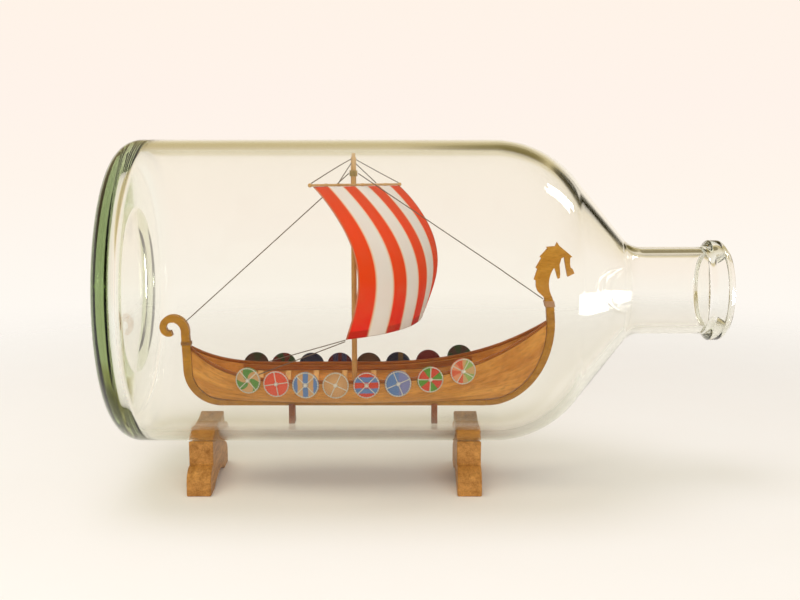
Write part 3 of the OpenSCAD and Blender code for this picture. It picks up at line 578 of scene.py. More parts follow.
warp = cloth.add("ShaderNodeTexWave", {"bands_direction": "X"}, {"Vector": flat, "Scale": 55.0, "Distortion": 0.3})
weft = cloth.add("ShaderNodeTexWave", {"bands_direction": "Y"}, {"Vector": flat, "Scale": 62.0, "Distortion": 0.3})
weave = cloth.add("ShaderNodeMath", {"operation": "MULTIPLY"},
                  {0: cloth.add("ShaderNodeSeparateXYZ", None, {0: warp}),
                   1: cloth.add("ShaderNodeSeparateXYZ", None, {0: weft})})
cloth.feed("Base Color", cloth.mix(weave * 0.12, dyed, cloth.mix(0.5, dyed, (0.0, 0.0, 0.0))))
cloth.feed("Roughness", 0.72 + 0.15 * blotch)
cloth.bump(weave, 0.05 * mm, 0.6)
sail = mesh_piece("square_sail", points, faces, cloth.material, smooth=True, uv=uv)
thick = sail.modifiers.new("cloth", "SOLIDIFY")
thick.thickness, thick.offset = sail_t, 0
finish_piece(sail, "bottle", "sailcloth", "sail")

# ---- Rigging ----
# Waxed thread of three twisted strands, stretched from the mast to the posts, the yard and the
# rails. The same tree of nodes sweeps every line, and its twist keeps one pitch on all of them.
def spun(name, dark, pale, sheen, scale, rough, rougher, depth=None):
    """The finish of a spun thread, with loose fibres that are paler and rougher."""
    f = Finish(name, Sheen_Weight=sheen)
    grain = f.add("ShaderNodeTexCoord", out="Object")
    fuzz = f.add("ShaderNodeTexNoise", None, {"Vector": grain, "Scale": scale, "Detail": 3.0})
    f.feed("Base Color", f.mix(fuzz, dark, pale))
    f.feed("Roughness", rough + rougher * fuzz)
    if depth:
        f.bump(fuzz, depth, 0.5)
    return f.material


thread = spun("waxed rigging thread", linear(84, 66, 50), linear(138, 116, 92), 0.2, 1800.0, 0.6, 0.25, 0.04 * mm)


class Graph:
    """A tree of geometry nodes with named inputs."""

    def __init__(self, name, inputs):
        self.tree = bpy.data.node_groups.new(name, "GeometryNodeTree")
        self.tree.interface.new_socket("Geometry", in_out="OUTPUT", socket_type="NodeSocketGeometry")
        self.keys = {}
        for label, (kind, value) in inputs.items():
            item = self.tree.interface.new_socket(label, in_out="INPUT", socket_type="NodeSocket" + kind)
            if value is not None:
                item.default_value = value
            self.keys[label] = item.identifier
        self.source = self.tree.nodes.new("NodeGroupInput")
        self.sink = self.tree.nodes.new("NodeGroupOutput")

    def given(self, label):
        return self.source.outputs[label]

    def add(self, kind, settings=None, sockets=None, out=0):
        full = kind if kind.startswith("Shader") else "GeometryNode" + kind
        return new_node(self.tree, full, settings, sockets).outputs[out]

    def times(self, a, b):
        return self.add("ShaderNodeMath", {"operation": "MULTIPLY"}, {0: a, 1: b})

    def end(self, geometry, material):
        whole = self.add("RealizeInstances", None, {"Geometry": geometry})
        self.tree.links.new(self.add("SetMaterial", None, {"Geometry": whole, "Material": material}),
                            self.sink.inputs[0])
        return self

    def make(self, name, values):
        """Makes one body with these inputs and leaves it as a plain mesh."""
        holder = bpy.data.objects.new(name, bpy.data.meshes.new(name))
        bpy.context.scene.collection.objects.link(holder)
        modifier = holder.modifiers.new("make", "NODES")
        modifier.node_group = self.tree
        for label, value in values.items():
            modifier[self.keys[label]] = value
        bpy.context.view_layer.update()
        view = bpy.context.evaluated_depsgraph_get()
        mesh = bpy.data.meshes.new_from_object(holder.evaluated_get(view), preserve_all_data_layers=True,
                                               depsgraph=view)
        holder.modifiers.remove(modifier)
        mesh.name = name
        holder.data = mesh
        return holder


line = Graph("twisted thread", {"From": ("Vector", (0, 0, 0)), "To": ("Vector", (0, 0, 1)),
                                "Radius": ("Float", 0.0002), "Twist": ("Float", 100.0)})
run = line.add("CurvePrimitiveLine", None, {"Start": line.given("From"), "End": line.given("To")})
run = line.add("ResampleCurve", {"mode": "LENGTH"}, {"Curve": run, "Length": 0.25 * mm})
tilt = line.times(line.add("SplineParameter", out="Length"), line.given("Twist"))
run = line.add("SetCurveTilt", None, {"Curve": run, "Tilt": tilt})
strands = []
for k in range(3):
    strand = line.add("CurvePrimitiveCircle", None, {"Resolution": 5, "Radius": line.times(line.given("Radius"), 0.52)})
    turn = k * 2 * math.pi / 3
    away = line.add("ShaderNodeCombineXYZ", None, {0: line.times(line.given("Radius"), 0.46 * math.cos(turn)),
                                                   1: line.times(line.given("Radius"), 0.46 * math.sin(turn))})
    strands.append(line.add("Transform", None, {"Geometry": strand, "Translation": away}))
lay = line.add("JoinGeometry", None, {"Geometry": strands})
line.end(line.add("CurveToMesh", None, {"Curve": run, "Profile Curve": lay, "Fill Caps": True}), thread)

line_r = 0.2 * mm
ring_low, ring_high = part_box("mast_ring")
ring_reach = (ring_high.y - ring_low.y) / 2 + line_r
ring_mid = (ring_low.z + ring_high.z) / 2


def on_yard(d):
    return yard_mid + spar * (d * mm) + Vector((0, 0, yard_r + line_r))


def at_mast(d, z):
    return Vector((ship.x + d * (mast_r + line_r) * spar.x, d * (mast_r + line_r) * spar.y, mast_high.z - z * mm))


def on_rail(x, side):
    p = hull(share_at(x, 1), 1)
    return Vector(to_row(p + Vector((0, rail_w / 2 - rail_in, rail_h + line_r)), side))


clew = sail_at(-1, 1) + Vector((-0.2 * mm, 0, -line_r))
stern_x, stern_z = volute(0.15, 1)
ties = {
    "backstay": (Vector((ship.x - ring_reach, 0, ring_mid)), Vector((ship.x + stern_x + line_r, 0, ship.z + stern_z))),
    "forestay": (Vector((ship.x + ring_reach, 0, ring_mid)),
                 Vector((ship.x + head_x - line_r * 1.5, 0, ship.z + stem_h - 0.6 * mm))),
    "near_end_lift": (at_mast(-1, 2.2), on_yard(-21.3)),
    "near_inner_lift": (at_mast(-1, 3.6), on_yard(-8.7)),
    "far_inner_lift": (at_mast(1, 3.6), on_yard(9.7)),
    "far_end_lift": (at_mast(1, 2.2), on_yard(21.3)),
    "port_sheet": (clew, on_rail(-30 * mm, 1)),
    "starboard_sheet": (clew - Vector((0, 0, 0.5 * mm)), on_rail(-32.5 * mm, -1)),
}
for node, (start, end) in ties.items():
    rope = line.make(node + "_thread", {"From": start, "To": end, "Radius": line_r, "Twist": 2 * math.pi / (1.3 * mm)})
    finish_piece(rope, "bottle", "rigging_thread", node)

# ---- Lashings ----
# A few turns of thread are wound round each post and keep the stays from slipping. They are waxed
# brown at the stern, where they hardly show against the post, and left pale at the stem.
pale_whipping = spun("pale whipping thread", linear(176, 122, 82), linear(222, 180, 140), 0.2, 1500.0, 0.55, 0.3,
                     0.05 * mm)
brown_whipping = spun("brown whipping thread", linear(138, 92, 36), linear(176, 124, 58), 0.1, 1500.0, 0.55, 0.3)

winding = Graph("wound turns", {"Width": ("Float", 0.003), "Depth": ("Float", 0.003), "Step": ("Vector", (0, 0, 0)),
                                "Turns": ("Int", 5), "Radius": ("Float", 0.0002), "Place": ("Vector", (0, 0, 0)),
                                "Finish": ("Material", None)})
loop = winding.add("CurvePrimitiveQuadrilateral", None, {"Width": winding.given("Width"),
                                                         "Height": winding.given("Depth")})
loop = winding.add("FilletCurve", {"mode": "POLY"}, {"Curve": loop, "Count": 4, "Radius": 0.3 * mm})
loop = winding.add("CurveToMesh", None, {"Curve": loop, "Profile Curve": winding.add(
    "CurvePrimitiveCircle", None, {"Resolution": 8, "Radius": winding.given("Radius")})})
stack = winding.add("MeshLine", None, {"Count": winding.given("Turns"), "Offset": winding.given("Step"),
                                       "Start Location": winding.given("Place")})
winding.end(winding.add("InstanceOnPoints", None, {"Points": stack, "Instance": loop}), winding.given("Finish"))
stem_tilt = (stem_lean * 2 / 3) / (0.4 * (stem_h - stem_sheer))
for node, tilt, turn_r, count, finish in (("stern_lashing", 0.0, 0.13 * mm, 4, brown_whipping),
                                          ("stem_lashing", stem_tilt, 0.16 * mm, 6, pale_whipping)):
    low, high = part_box(node)
    rise = 0.98 * (2 * mm - 2 * turn_r) / (count - 1) if tilt else (high.z - low.z - 3 * turn_r) / (count - 1)
    first = Vector(((low.x + high.x) / 2, 0, (low.z + high.z) / 2)) - Vector((-tilt, 0, 1)) * (rise * (count - 1) / 2)
    band = winding.make(node + "_turns", {
        "Width": post_w + 2 * turn_r + 0.1 * mm, "Depth": post_t + 2 * turn_r + 0.1 * mm,
        "Step": Vector((-tilt, 0, 1)) * rise, "Turns": count, "Radius": turn_r, "Place": first, "Finish": finish})
    finish_piece(band, "bottle", "lashing_thread" if tilt else "rigging_thread", node)

# ---- Shields ----
# Eight round boards a side, painted in quarters, stripes and whirls, each with a twisted pale rim,
# two crossed bars and a silvery domed boss. They hang outside the rail and follow its line. The far
# row's colours are dark and little worn: painted shade, for boards seen from their shaded side.
green, tan, orange = linear(96, 142, 70), linear(206, 160, 112), linear(222, 84, 58)
blue, violet, brick = linear(98, 128, 178), linear(128, 130, 176), linear(206, 72, 52)
# brown and deep serve only the far row, and are dark as painted shade.
grass, brown, deep = linear(92, 146, 52), linear(70, 46, 30), linear(26, 28, 50)
shield_r, shield_t, rim_twists = 4.35 * mm, 0.6 * mm, 15


def paint(name, pattern, wear_share=0.5):
    """pattern takes the finish and its x, y, angle and radius wires and returns the colour."""
    f = Finish(name, Coat_Weight=0.1, Coat_Roughness=0.35, Specular_IOR_Level=0.2)
    place = f.add("ShaderNodeTexCoord", out="UV")
    wobble = f.add("ShaderNodeTexNoise", None, {"Vector": place, "Scale": 2.6, "Detail": 3.0})
    x = f.add("ShaderNodeSeparateXYZ", None, {0: place}) + 0.12 * (wobble - 0.5)
    y = f.add("ShaderNodeSeparateXYZ", None, {0: place}, out="Y") + 0.12 * (wobble - 0.5)
    angle = f.add("ShaderNodeMath", {"operation": "ARCTAN2"}, {0: y, 1: x})
    radius = f.add("ShaderNodeMath", {"operation": "SQRT"}, {0: x * x + y * y})
    colour = pattern(f, x, y, angle, radius)
    wear = f.add("ShaderNodeTexNoise", None, {"Vector": place, "Scale": 7.0, "Detail": 5.0, "Roughness": 0.7})
    worn = f.add("ShaderNodeMapRange", None, {"Value": wear, "From Min": 0.58, "From Max": 0.72, "To Max": wear_share})
    f.feed("Base Color", f.mix(worn, colour, linear(188, 148, 108)))
    f.feed("Roughness", 0.45 + 0.3 * wear)
    f.bump(wear, 0.06 * mm, 0.5)
    return f.material


def sectors(f, angle, count, lead):
    return f.add("ShaderNodeMath", {"operation": "SINE"}, {0: angle * count + lead}) > 0.0


paints = [
    paint("green whirl", lambda f, x, y, a, r: f.mix(sectors(f, a, 3, 3.2 * r + 0.6), tan, green)),
    paint("orange", lambda f, x, y, a, r: f.mix(r * 0.5, orange, linear(214, 92, 70))),
    paint("blue and tan stripes", lambda f, x, y, a, r: f.mix(abs(abs(x) - 0.4) < 0.2, blue, tan)),
    paint("natural", lambda f, x, y, a, r: f.mix(r, linear(214, 166, 116), linear(190, 140, 92))),
    paint("red and blue stripes", lambda f, x, y, a, r: f.mix(abs(abs(y) - 0.42) < 0.2, brick, blue)),
    paint("blue", lambda f, x, y, a, r: f.mix(x > 0.05, blue, violet)),
    paint("red and green gyrons", lambda f, x, y, a, r: f.mix(sectors(f, a, 4, 0.5), brick, grass)),
    paint("halved red and green", lambda f, x, y, a, r: f.mix(
        x > 0.0, f.mix(sectors(f, a, 5, 1.0), linear(216, 96, 64), linear(226, 150, 110)),
        f.mix(sectors(f, a, 4, 1.2), linear(150, 176, 96), linear(206, 166, 116)))),
]
# Painted shade: the far row gets darker colours and less wear than the near row.
shaded_far_paints = [
    paint("brown and green", lambda f, x, y, a, r: f.mix(sectors(f, a, 4, 1.0), brown, linear(52, 58, 30)), 0.1),
    paint("shaded green and red", lambda f, x, y, a, r: f.mix(sectors(f, a, 5, 2.0 * r), linear(44, 64, 30),
                                                             linear(100, 36, 22)), 0.1),
    paint("shaded blue", lambda f, x, y, a, r: f.mix(r * 0.6, linear(40, 42, 66), deep), 0.1),
    paint("red and violet", lambda f, x, y, a, r: f.mix(abs(abs(x) - 0.35) < 0.2, linear(90, 26, 22),
                                                         linear(58, 54, 86)), 0.1),
    paint("shaded brown", lambda f, x, y, a, r: f.mix(r, linear(104, 68, 38), linear(74, 46, 26)), 0.1),
    paint("blue and tan halves", lambda f, x, y, a, r: f.mix(abs(x - 0.2) < 0.2, deep, linear(96, 70, 34)), 0.1),
    paint("shaded red", lambda f, x, y, a, r: f.mix(r * 0.7, linear(120, 28, 18), linear(92, 24, 16)), 0.1),
    paint("green and brown", lambda f, x, y, a, r: f.mix(sectors(f, a, 5, 1.0), linear(46, 66, 30), brown), 0.1),
]


def tarnished(name, metallic, scale, detail, dark, bright, rough, rougher, depth, strength):
    """The finish of a thin metal that is duller and rougher in patches."""
    f = Finish(name, Metallic=metallic)
    grain = f.add("ShaderNodeTexCoord", out="Object")
    tarnish = f.add("ShaderNodeTexNoise", None, {"Vector": grain, "Scale": scale, "Detail": detail})
    f.feed("Base Color", f.mix(tarnish, dark, bright))
    f.feed("Roughness", rough + rougher * tarnish)
    f.bump(tarnish, depth, strength)
    return f.material


foil = tarnished("pale foil", 0.55, 900.0, 4.0, linear(196, 192, 180), linear(244, 240, 230), 0.3, 0.3, 0.06 * mm, 0.6)
silver = tarnished("silvery boss", 0.85, 1100.0, 3.0, linear(206, 206, 204), linear(248, 246, 242), 0.2, 0.25,
                   0.04 * mm, 0.4)

metalwork = Graph("rim and bars", {"Radius": ("Float", 0.004), "Wire": ("Float", 0.0003), "Bar": ("Float", 0.0002)})
rim = metalwork.add("CurvePrimitiveCircle", None, {"Resolution": 72, "Radius": metalwork.given("Radius")})
rim = metalwork.add("SetCurveTilt", None, {"Curve": rim, "Tilt": metalwork.times(
    metalwork.add("SplineParameter", out="Factor"), 2 * math.pi * rim_twists)})
cord = []
for k in range(2):
    strand = metalwork.add("CurvePrimitiveCircle", None, {
        "Resolution": 6, "Radius": metalwork.times(metalwork.given("Wire"), 0.62)})
    shift = metalwork.add("ShaderNodeCombineXYZ", None, {
        0: metalwork.times(metalwork.given("Wire"), 0.38 * (1 - 2 * k))})
    cord.append(metalwork.add("Transform", None, {"Geometry": strand, "Translation": shift}))
cord = metalwork.add("JoinGeometry", None, {"Geometry": cord})
rim = metalwork.add("CurveToMesh", None, {"Curve": rim, "Profile Curve": cord})
ends = metalwork.add("ShaderNodeCombineXYZ", None, {0: metalwork.given("Radius")})
back = metalwork.add("ShaderNodeVectorMath", {"operation": "SCALE"}, {0: ends, "Scale": -1.0})
stick = metalwork.add("CurvePrimitiveLine", None, {"Start": back, "End": ends})
bars = []
for k in range(2):
    turned_bar = metalwork.add("Transform", None, {"Geometry": stick, "Rotation": (0, 0, math.radians(45 + 90 * k))})
    bars.append(metalwork.add("CurveToMesh", None, {"Curve": turned_bar, "Profile Curve": metalwork.add(
        "CurvePrimitiveCircle", None, {"Resolution": 8, "Radius": metalwork.given("Bar")}), "Fill Caps": True}))
metalwork.end(metalwork.add("JoinGeometry", None, {"Geometry": [rim] + bars}), foil)
dome = Graph("domed boss", {"Half": ("Vector", (1, 1, 1))})
sphere = dome.add("MeshUVSphere", None, {"Segments": 20, "Rings": 12, "Radius": 1.0})
dome.end(dome.add("Transform", None, {"Geometry": sphere, "Scale": dome.given("Half")}), silver)


def bare_mesh(graph, name, values):
    """The bare mesh that a tree makes, to be copied onto every shield."""
    holder = graph.make(name, values)
    mesh = holder.data
    bpy.data.objects.remove(holder)
    return mesh


rim_and_bars = bare_mesh(metalwork, "rim_and_bars",
                         {"Radius": shield_r - 0.27 * mm, "Wire": 0.25 * mm, "Bar": 0.17 * mm})
boss = bare_mesh(dome, "boss", {"Half": (0.75 * mm, 0.75 * mm, 0.8 * mm)})
bar_turns = [-2, 55, 0, 20, 0, -23, 43, 15]
for side, board in ((1, "port"), (-1, "starboard")):
    rims, bosses = bmesh.new(), bmesh.new()
    for i in range(8):
        node = "%s_shield_%d" % (board, i + 1)
        low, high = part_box(node)
        s = share_at(shield_x(i), 1)
        d = hull(s + 0.01, 1) - hull(s - 0.01, 1)
        face = Matrix.Rotation(side * math.atan2(d.y, d.x), 4, "Z")
        face = face @ Matrix.Rotation(math.radians(-90 * side), 4, "X")
        centre = (low + high) / 2
        place = Matrix.Translation(centre) @ face @ Matrix.Translation((0, 0, -shield_t / 2))
        steps, rings = 48, [(0.0, 0.0), (shield_r * 0.5, 0), (shield_r * 0.94, 0), (shield_r, 0.06 * mm),
                            (shield_r, shield_t - 0.06 * mm), (shield_r * 0.94, shield_t), (shield_r * 0.5, shield_t),
                            (0.0, shield_t)]
        points, faces, uv = [], [], []
        for r, h in rings[1:-1]:
            for k in range(steps):
                a = 2 * math.pi * k / steps
                points.append(place @ Vector((r * math.cos(a), r * math.sin(a), h)))
                uv.append((r / shield_r * math.cos(a), r / shield_r * math.sin(a)))
        for r, h in (rings[0], rings[-1]):
            points.append(place @ Vector((0, 0, h)))
            uv.append((0.0, 0.0))
        m = len(rings) - 2
        for j in range(m - 1):
            faces += [(j * steps + k, j * steps + (k + 1) % steps, (j + 1) * steps + (k + 1) % steps,
                       (j + 1) * steps + k) for k in range(steps)]
        faces += [(m * steps, (k + 1) % steps, k) for k in range(steps)]
        faces += [(m * steps + 1, (m - 1) * steps + k, (m - 1) * steps + (k + 1) % steps) for k in range(steps)]
        # The far side takes the darker colours, which paint its shade.
        colours = (paints if side < 0 else shaded_far_paints)[i]
        disc = mesh_piece(node + "_board", points, faces, colours, smooth=True, uv=uv)
        disc.data.set_sharp_from_angle(angle=math.radians(35))
        slot = "shield_paint_%d" % (i + 1) if side < 0 else "shield_paint_port_%d" % (i + 1)
        finish_piece(disc, "bottle", slot, node)
        turn = Matrix.Rotation(math.radians(bar_turns[i]), 4, "Z")
        for shape, mesh, lift in ((rims, rim_and_bars, Matrix.Translation((0, 0, shield_t + 0.02 * mm)) @ turn),
                                  (bosses, boss, Matrix.Translation((0, 0, shield_t)))):
            copy = mesh.copy()
            copy.transform(place @ lift)
            shape.from_mesh(copy)
    for name, shape, finish, slot in (("rims", rims, foil, "shield_bands"),
                                      ("bosses", bosses, silver, "shield_bosses")):
        mesh = bpy.data.meshes.new("%s_%s" % (board, name))
        shape.to_mesh(mesh)
        shape.free()
        mesh.materials.clear()
        mesh.materials.append(finish)
        for face_of in mesh.polygons:
            face_of.use_smooth = True
        piece = bpy.data.objects.new(mesh.name, mesh)
        bpy.context.scene.collection.objects.link(piece)
        finish_piece(piece, "bottle", slot, "%s_shield_%s" % (board, "bands" if name == "rims" else "bosses"))

# ---- Props ----
# Two small dark blocks hold the ship clear of the glass. Their feet are cut to the bottle's curve
# and their tops are notched for the keel.
prop_wood = wood("dark stained prop wood", linear(164, 84, 14), linear(108, 48, 4), (1.2, 3, 1.6), roughness=0.45)
leave_as_cut("aft_prop", prop_wood)
leave_as_cut("fore_prop", prop_wood)

# ---- Bottle ----
# Clear soda glass, blown in a mould: a thick pushed-up base with a round heel, an even wall, a
# sloping shoulder, and a collar run round the mouth. It looks green only through its thick heel,
# where light runs a long way in the glass and enters it by a slightly greener outer corner.
base_x, length = glass_low.x, glass_high.x - glass_low.x
wall, floor_t, heel_r, punt_h, punt_r = 3.3 * mm, 6 * mm, 8.5 * mm, 2.5 * mm, 27 * mm
shoulder_at, shoulder_r, slope = 124 * mm, 34.5 * mm, 50.5
neck_r, mouth_r, lip_r, lip_len, lip_round = 14.5 * mm, 12 * mm, 16.7 * mm, 8.5 * mm, 2.6 * mm
root_r = 8 * mm
body_in = body_r - wall
tan_slope, run_share = math.tan(math.radians(slope)), math.tan(math.radians(slope / 2))
slope_at = shoulder_at + shoulder_r * math.sin(math.radians(slope))
slope_edge = body_r - shoulder_r * (1 - math.cos(math.radians(slope)))
root_at = slope_at + (slope_edge - neck_r) / tan_slope
ball = (punt_r ** 2 + punt_h ** 2) / (2 * punt_h)
outer = [(punt_h, 0)] + arc(punt_h - ball, 0, ball, 1, math.degrees(math.asin(punt_r / ball)), 16)
outer += [(0, between(punt_r, body_r - heel_r, k)) for k in (0.04, 0.5, 0.96)]
outer += arc(heel_r, body_r - heel_r, heel_r, 180, 90, 24)
outer += [(between(heel_r, shoulder_at, k), body_r) for k in (0.02, 0.25, 0.5, 0.75, 0.98)]
outer += arc(shoulder_at, body_r - shoulder_r, shoulder_r, 90, 90 - slope, 28)
outer += arc(root_at + root_r * run_share, neck_r + root_r, root_r, 270 - slope, 270, 16)
outer += [(length - lip_len - 1 * mm, neck_r), (length - lip_len, neck_r + 0.02 * mm)]
outer += [(length - lip_len + k * 2.4 * mm, between(neck_r, lip_r, k * k * (3 - 2 * k))) for k in
          (0.15, 0.3, 0.45, 0.6, 0.75, 0.9, 1.0)]
outer += arc(length - lip_round - 1 * mm, lip_r - lip_round, lip_round, 90, 8, 12)
outer += arc(length - 1.2 * mm, mouth_r + 1.2 * mm, 1.2 * mm, 45, -90, 8)
in_corner, in_slope_r = 5 * mm, shoulder_r - wall
in_slope_at = shoulder_at + in_slope_r * math.sin(math.radians(slope))
in_slope_edge = body_in - in_slope_r * (1 - math.cos(math.radians(slope)))
in_root_r = root_r + neck_r - mouth_r
in_root_at = in_slope_at + (in_slope_edge - mouth_r) / tan_slope
dome_h = punt_h * 0.8
inner = [(floor_t + dome_h, 0)]
inner += [(floor_t + dome_h * (1 - k * k), (body_in - in_corner) * k) for k in [i / 16 for i in range(1, 17)]]
inner += arc(floor_t + in_corner, body_in - in_corner, in_corner, 172, 90, 14)
inner += [(between(floor_t + in_corner, shoulder_at, k), body_in) for k in (0.02, 0.25, 0.5, 0.75, 0.98)]
inner += arc(shoulder_at, body_in - in_slope_r, in_slope_r, 90, 90 - slope, 28)
inner += arc(in_root_at + in_root_r * run_share, mouth_r + in_root_r, in_root_r, 270 - slope, 270, 16)
ring_of = [p for p in outer + inner[::-1]]
steps = 192
points, faces, starts = [], [], []
for x, r in ring_of:
    starts.append(len(points))
    if r < 1e-9:
        points.append((base_x + x, 0, axis.z))
    else:
        points += [(base_x + x, r * math.sin(2 * math.pi * k / steps), axis.z + r * math.cos(2 * math.pi * k / steps))
                   for k in range(steps)]
for i in range(len(ring_of) - 1):
    a, b = starts[i], starts[i + 1]
    for k in range(steps):
        n = (k + 1) % steps
        if ring_of[i][1] < 1e-9:
            faces.append((a, b + k, b + n))
        elif ring_of[i + 1][1] < 1e-9:
            faces.append((a + n, a + k, b))
        else:
            faces.append((a + k, b + k, b + n, a + n))
glass = Finish("clear soda glass", Transmission_Weight=1.0, IOR=1.5, Roughness=0.0,
               Specular_Tint=(0.2, 0.2, 0.2, 1))
where = glass.add("ShaderNodeTexCoord", out="Object")
along_x = glass.add("ShaderNodeSeparateXYZ", None, {0: where})
side_y = glass.add("ShaderNodeSeparateXYZ", None, {0: where}, out="Y")
up_z = glass.add("ShaderNodeSeparateXYZ", None, {0: where}, out="Z") - axis.z
from_axis = glass.add("ShaderNodeMath", {"operation": "SQRT"}, {0: side_y * side_y + up_z * up_z})
corner = body_r - base_x
heel = glass.add("ShaderNodeMapRange", {"interpolation_type": "SMOOTHSTEP"}, {
    "Value": from_axis - along_x, "From Min": corner - 8.6 * mm, "From Max": corner - 5.8 * mm})
leaving = glass.add("ShaderNodeNewGeometry", out="Backfacing")
glass.feed("Base Color", glass.mix(heel * (1 - leaving), linear(255, 254, 253), linear(146, 172, 136)))
clear = glass.add("ShaderNodeBsdfTransparent", None, {"Color": (0.9, 0.895, 0.87, 1)})
shade, bounced = (glass.add("ShaderNodeLightPath", out=kind) for kind in ("Is Shadow Ray", "Is Diffuse Ray"))
passing = glass.add("ShaderNodeMath", {"operation": "MAXIMUM"}, {0: shade, 1: bounced})
both = glass.add("ShaderNodeMixShader", None, {0: passing, 1: Wire(glass, glass.shader.outputs[0]), 2: clear})
glass.tree.links.new(both.socket, glass.out.inputs["Surface"])
tint = glass.add("ShaderNodeVolumeAbsorption", None, {"Color": (0.64, 0.715, 0.42, 1), "Density": 20.0})
glass.tree.links.new(tint.socket, glass.out.inputs["Volume"])
bottle = outward(mesh_piece("clear_bottle", points, faces, glass.material, smooth=True))
for face in bottle.data.polygons:
    face.use_smooth = True
finish_piece(bottle, "bottle", "clear_glass", "glass_bottle")

# ---- Room ----
# A pale table that fades into a pale wall, one broad lamp up to the left and a weaker one in
# front. Glass and metal see the same bright surround, khaki higher up and dark in two places
# behind, and two panes to the right that light nothing else.
table = Finish("pale table", Roughness=0.9, Specular_IOR_Level=0.1)
where = table.add("ShaderNodeTexCoord", out="Object")
speck = table.add("ShaderNodeTexNoise", None, {"Vector": where, "Scale": 40.0, "Detail": 4.0})
table.feed("Base Color", table.mix(speck, linear(253, 249, 243), linear(254, 251, 246)))
far = table.add("ShaderNodeVectorMath", {"operation": "LENGTH"}, {0: where}, out="Value")
fade = table.add("ShaderNodeMapRange", {"interpolation_type": "SMOOTHERSTEP"}, {
    "Value": far, "From Min": 0.14, "From Max": 0.46})
open_air = table.add("ShaderNodeBsdfTransparent")
both = table.add("ShaderNodeMixShader", None, {0: fade, 1: Wire(table, table.shader.outputs[0]), 2: open_air})
table.tree.links.new(both.socket, table.out.inputs["Surface"])
table_r = 0.9
rim_points = [(a, b, 0) for a, b in arc(0, 0, table_r, 0, 360, 64)[:-1]]
floor = mesh_piece("pale_table", rim_points, [tuple(range(64))], table.material)

scene = bpy.context.scene
scene.view_settings.view_transform = "Standard"
# Light is guided a long way round the thick heel, and would end black there with fewer bounces.
scene.cycles.max_bounces, scene.cycles.transmission_bounces, scene.cycles.glossy_bounces = 18, 18, 12
world = bpy.data.worlds.new("pale room")
scene.world = world
world.use_nodes = True
tree = world.node_tree
tree.nodes.clear()


def room(kind, settings=None, sockets=None, out=0):
    return new_node(tree, kind, settings, sockets).outputs[out]


def patch(under, toward, start, full, most, colour):
    """A soft round patch of the surround, about one direction and over what is there."""
    near = room("ShaderNodeVectorMath", {"operation": "DOT_PRODUCT"}, {0: aim, 1: toward}, "Value")
    share = room("ShaderNodeMapRange", {"interpolation_type": "SMOOTHSTEP"}, {
        "Value": near, "From Min": start, "From Max": full, "To Max": most})
    return room("ShaderNodeMix", {"data_type": "RGBA"}, {0: share, 6: under, 7: (*colour, 1)}, 2)


aim = room("ShaderNodeTexCoord", None, None, "Generated")
height = room("ShaderNodeSeparateXYZ", None, {0: aim}, "Z")
share = room("ShaderNodeMapRange", None, {"Value": height, "From Min": -1.0, "From Max": 1.0})
low_wall = [(0.36, linear(255, 253, 249)), (0.43, linear(255, 249, 241)), (0.47, linear(255, 245, 235))]
plain = room("ShaderNodeValToRGB", {"stops": low_wall + [
    (0.50, linear(255, 243, 234)), (0.54, linear(255, 243, 232))]}, {0: share})
shown = room("ShaderNodeValToRGB", {"stops": low_wall + [
    (0.58, linear(255, 243, 230)), (0.61, linear(222, 204, 160)), (0.635, linear(202, 184, 136)),
    (0.72, linear(200, 182, 138)), (0.82, linear(232, 220, 196)), (0.95, linear(252, 246, 238))]}, {0: share})
shown = patch(shown, (0.202, 0.857, 0.474), 0.976, 0.992, 0.85, linear(104, 90, 36))
shown = patch(shown, (0.502, 0.821, 0.27), 0.982, 0.994, 1.0, linear(40, 35, 16))
light = new_node(tree, "ShaderNodeLightPath")
passed = room("ShaderNodeMath", {"operation": "MAXIMUM"}, {0: light.outputs["Is Transmission Ray"],
                                                           1: light.outputs["Is Glossy Ray"]})
backdrop = room("ShaderNodeBackground", None, {0: plain, 1: 1.0})
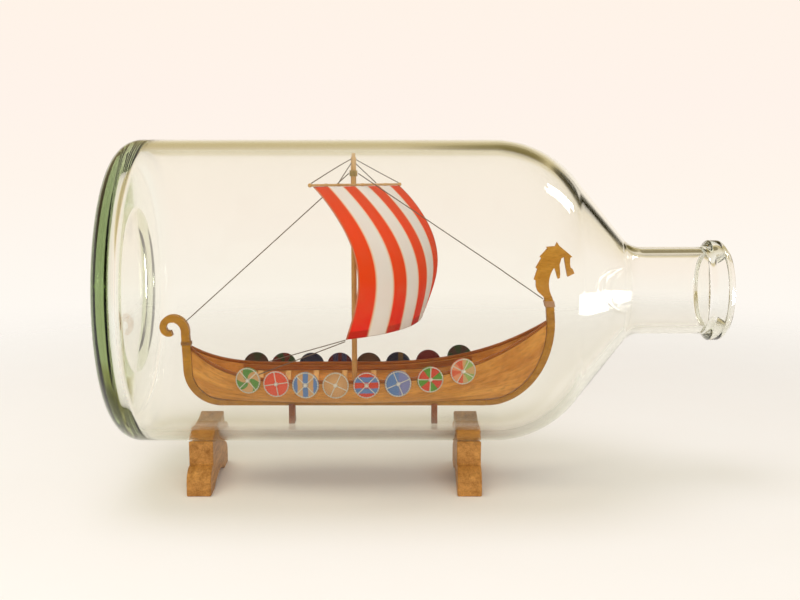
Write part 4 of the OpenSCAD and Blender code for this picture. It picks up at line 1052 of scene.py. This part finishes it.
through = room("ShaderNodeBackground", None, {0: shown, 1: 1.0})
lit = room("ShaderNodeBackground", None, {0: (1.0, 0.965, 0.92, 1), 1: 0.47})
mixed = room("ShaderNodeMixShader", None, {0: passed, 1: lit, 2: through})
mixed = room("ShaderNodeMixShader", None, {0: light.outputs["Is Camera Ray"], 1: mixed, 2: backdrop})
new_node(tree, "ShaderNodeOutputWorld", None, {"Surface": mixed})


def lamp(name, place, aim_at, size, watts, colour):
    data = bpy.data.lights.new(name, "AREA")
    data.shape, data.size, data.size_y = "RECTANGLE", size[0], size[1]
    data.energy, data.color = watts, colour
    o = bpy.data.objects.new(name, data)
    scene.collection.objects.link(o)
    o.location = place
    o.rotation_euler = (Vector(aim_at) - Vector(place)).to_track_quat("-Z", "Y").to_euler()
    return o


warm_white, cool_white = (1.0, 0.972, 0.94), (1.0, 0.98, 0.97)
window = lamp("window", (-0.22, -0.06, 0.92), (0, 0, 0.05), (0.5, 0.5), 4.15, warm_white)
fill = lamp("fill", (0.12, -0.9, 0.36), (0, 0, 0.07), (0.7, 0.4), 3.7, (1.0, 0.98, 0.95))
for soft in (window, fill):
    soft.visible_glossy = soft.visible_transmission = False
tall_at, low_at = Vector((42 * mm, -29 * mm, 99 * mm)), Vector((42 * mm, -35 * mm, 60 * mm))
tall = lamp("tall pane", tall_at + Vector((0.686, 0.435, 0.583)) * 0.8, tall_at, (0.07, 0.3), 1.5, cool_white)
broad = lamp("low pane", low_at + Vector((0.905, 0.4, -0.12)) * 0.36, low_at, (0.17, 0.055), 0.45, cool_white)
tall.visible_diffuse = broad.visible_diffuse = False

camera = bpy.data.objects.new("camera", bpy.data.cameras.new("camera"))
scene.collection.objects.link(camera)
camera.data.sensor_width = 36
camera.data.lens = 36 * 1255.5 / 800
camera.data.clip_start, camera.data.clip_end = 0.01, 20
camera.location = (-7.8 * mm, -415.2 * mm, axis.z + 63.5 * mm)
camera.rotation_euler = (math.radians(90 - 9.15), 0, 0)
scene.camera = camera
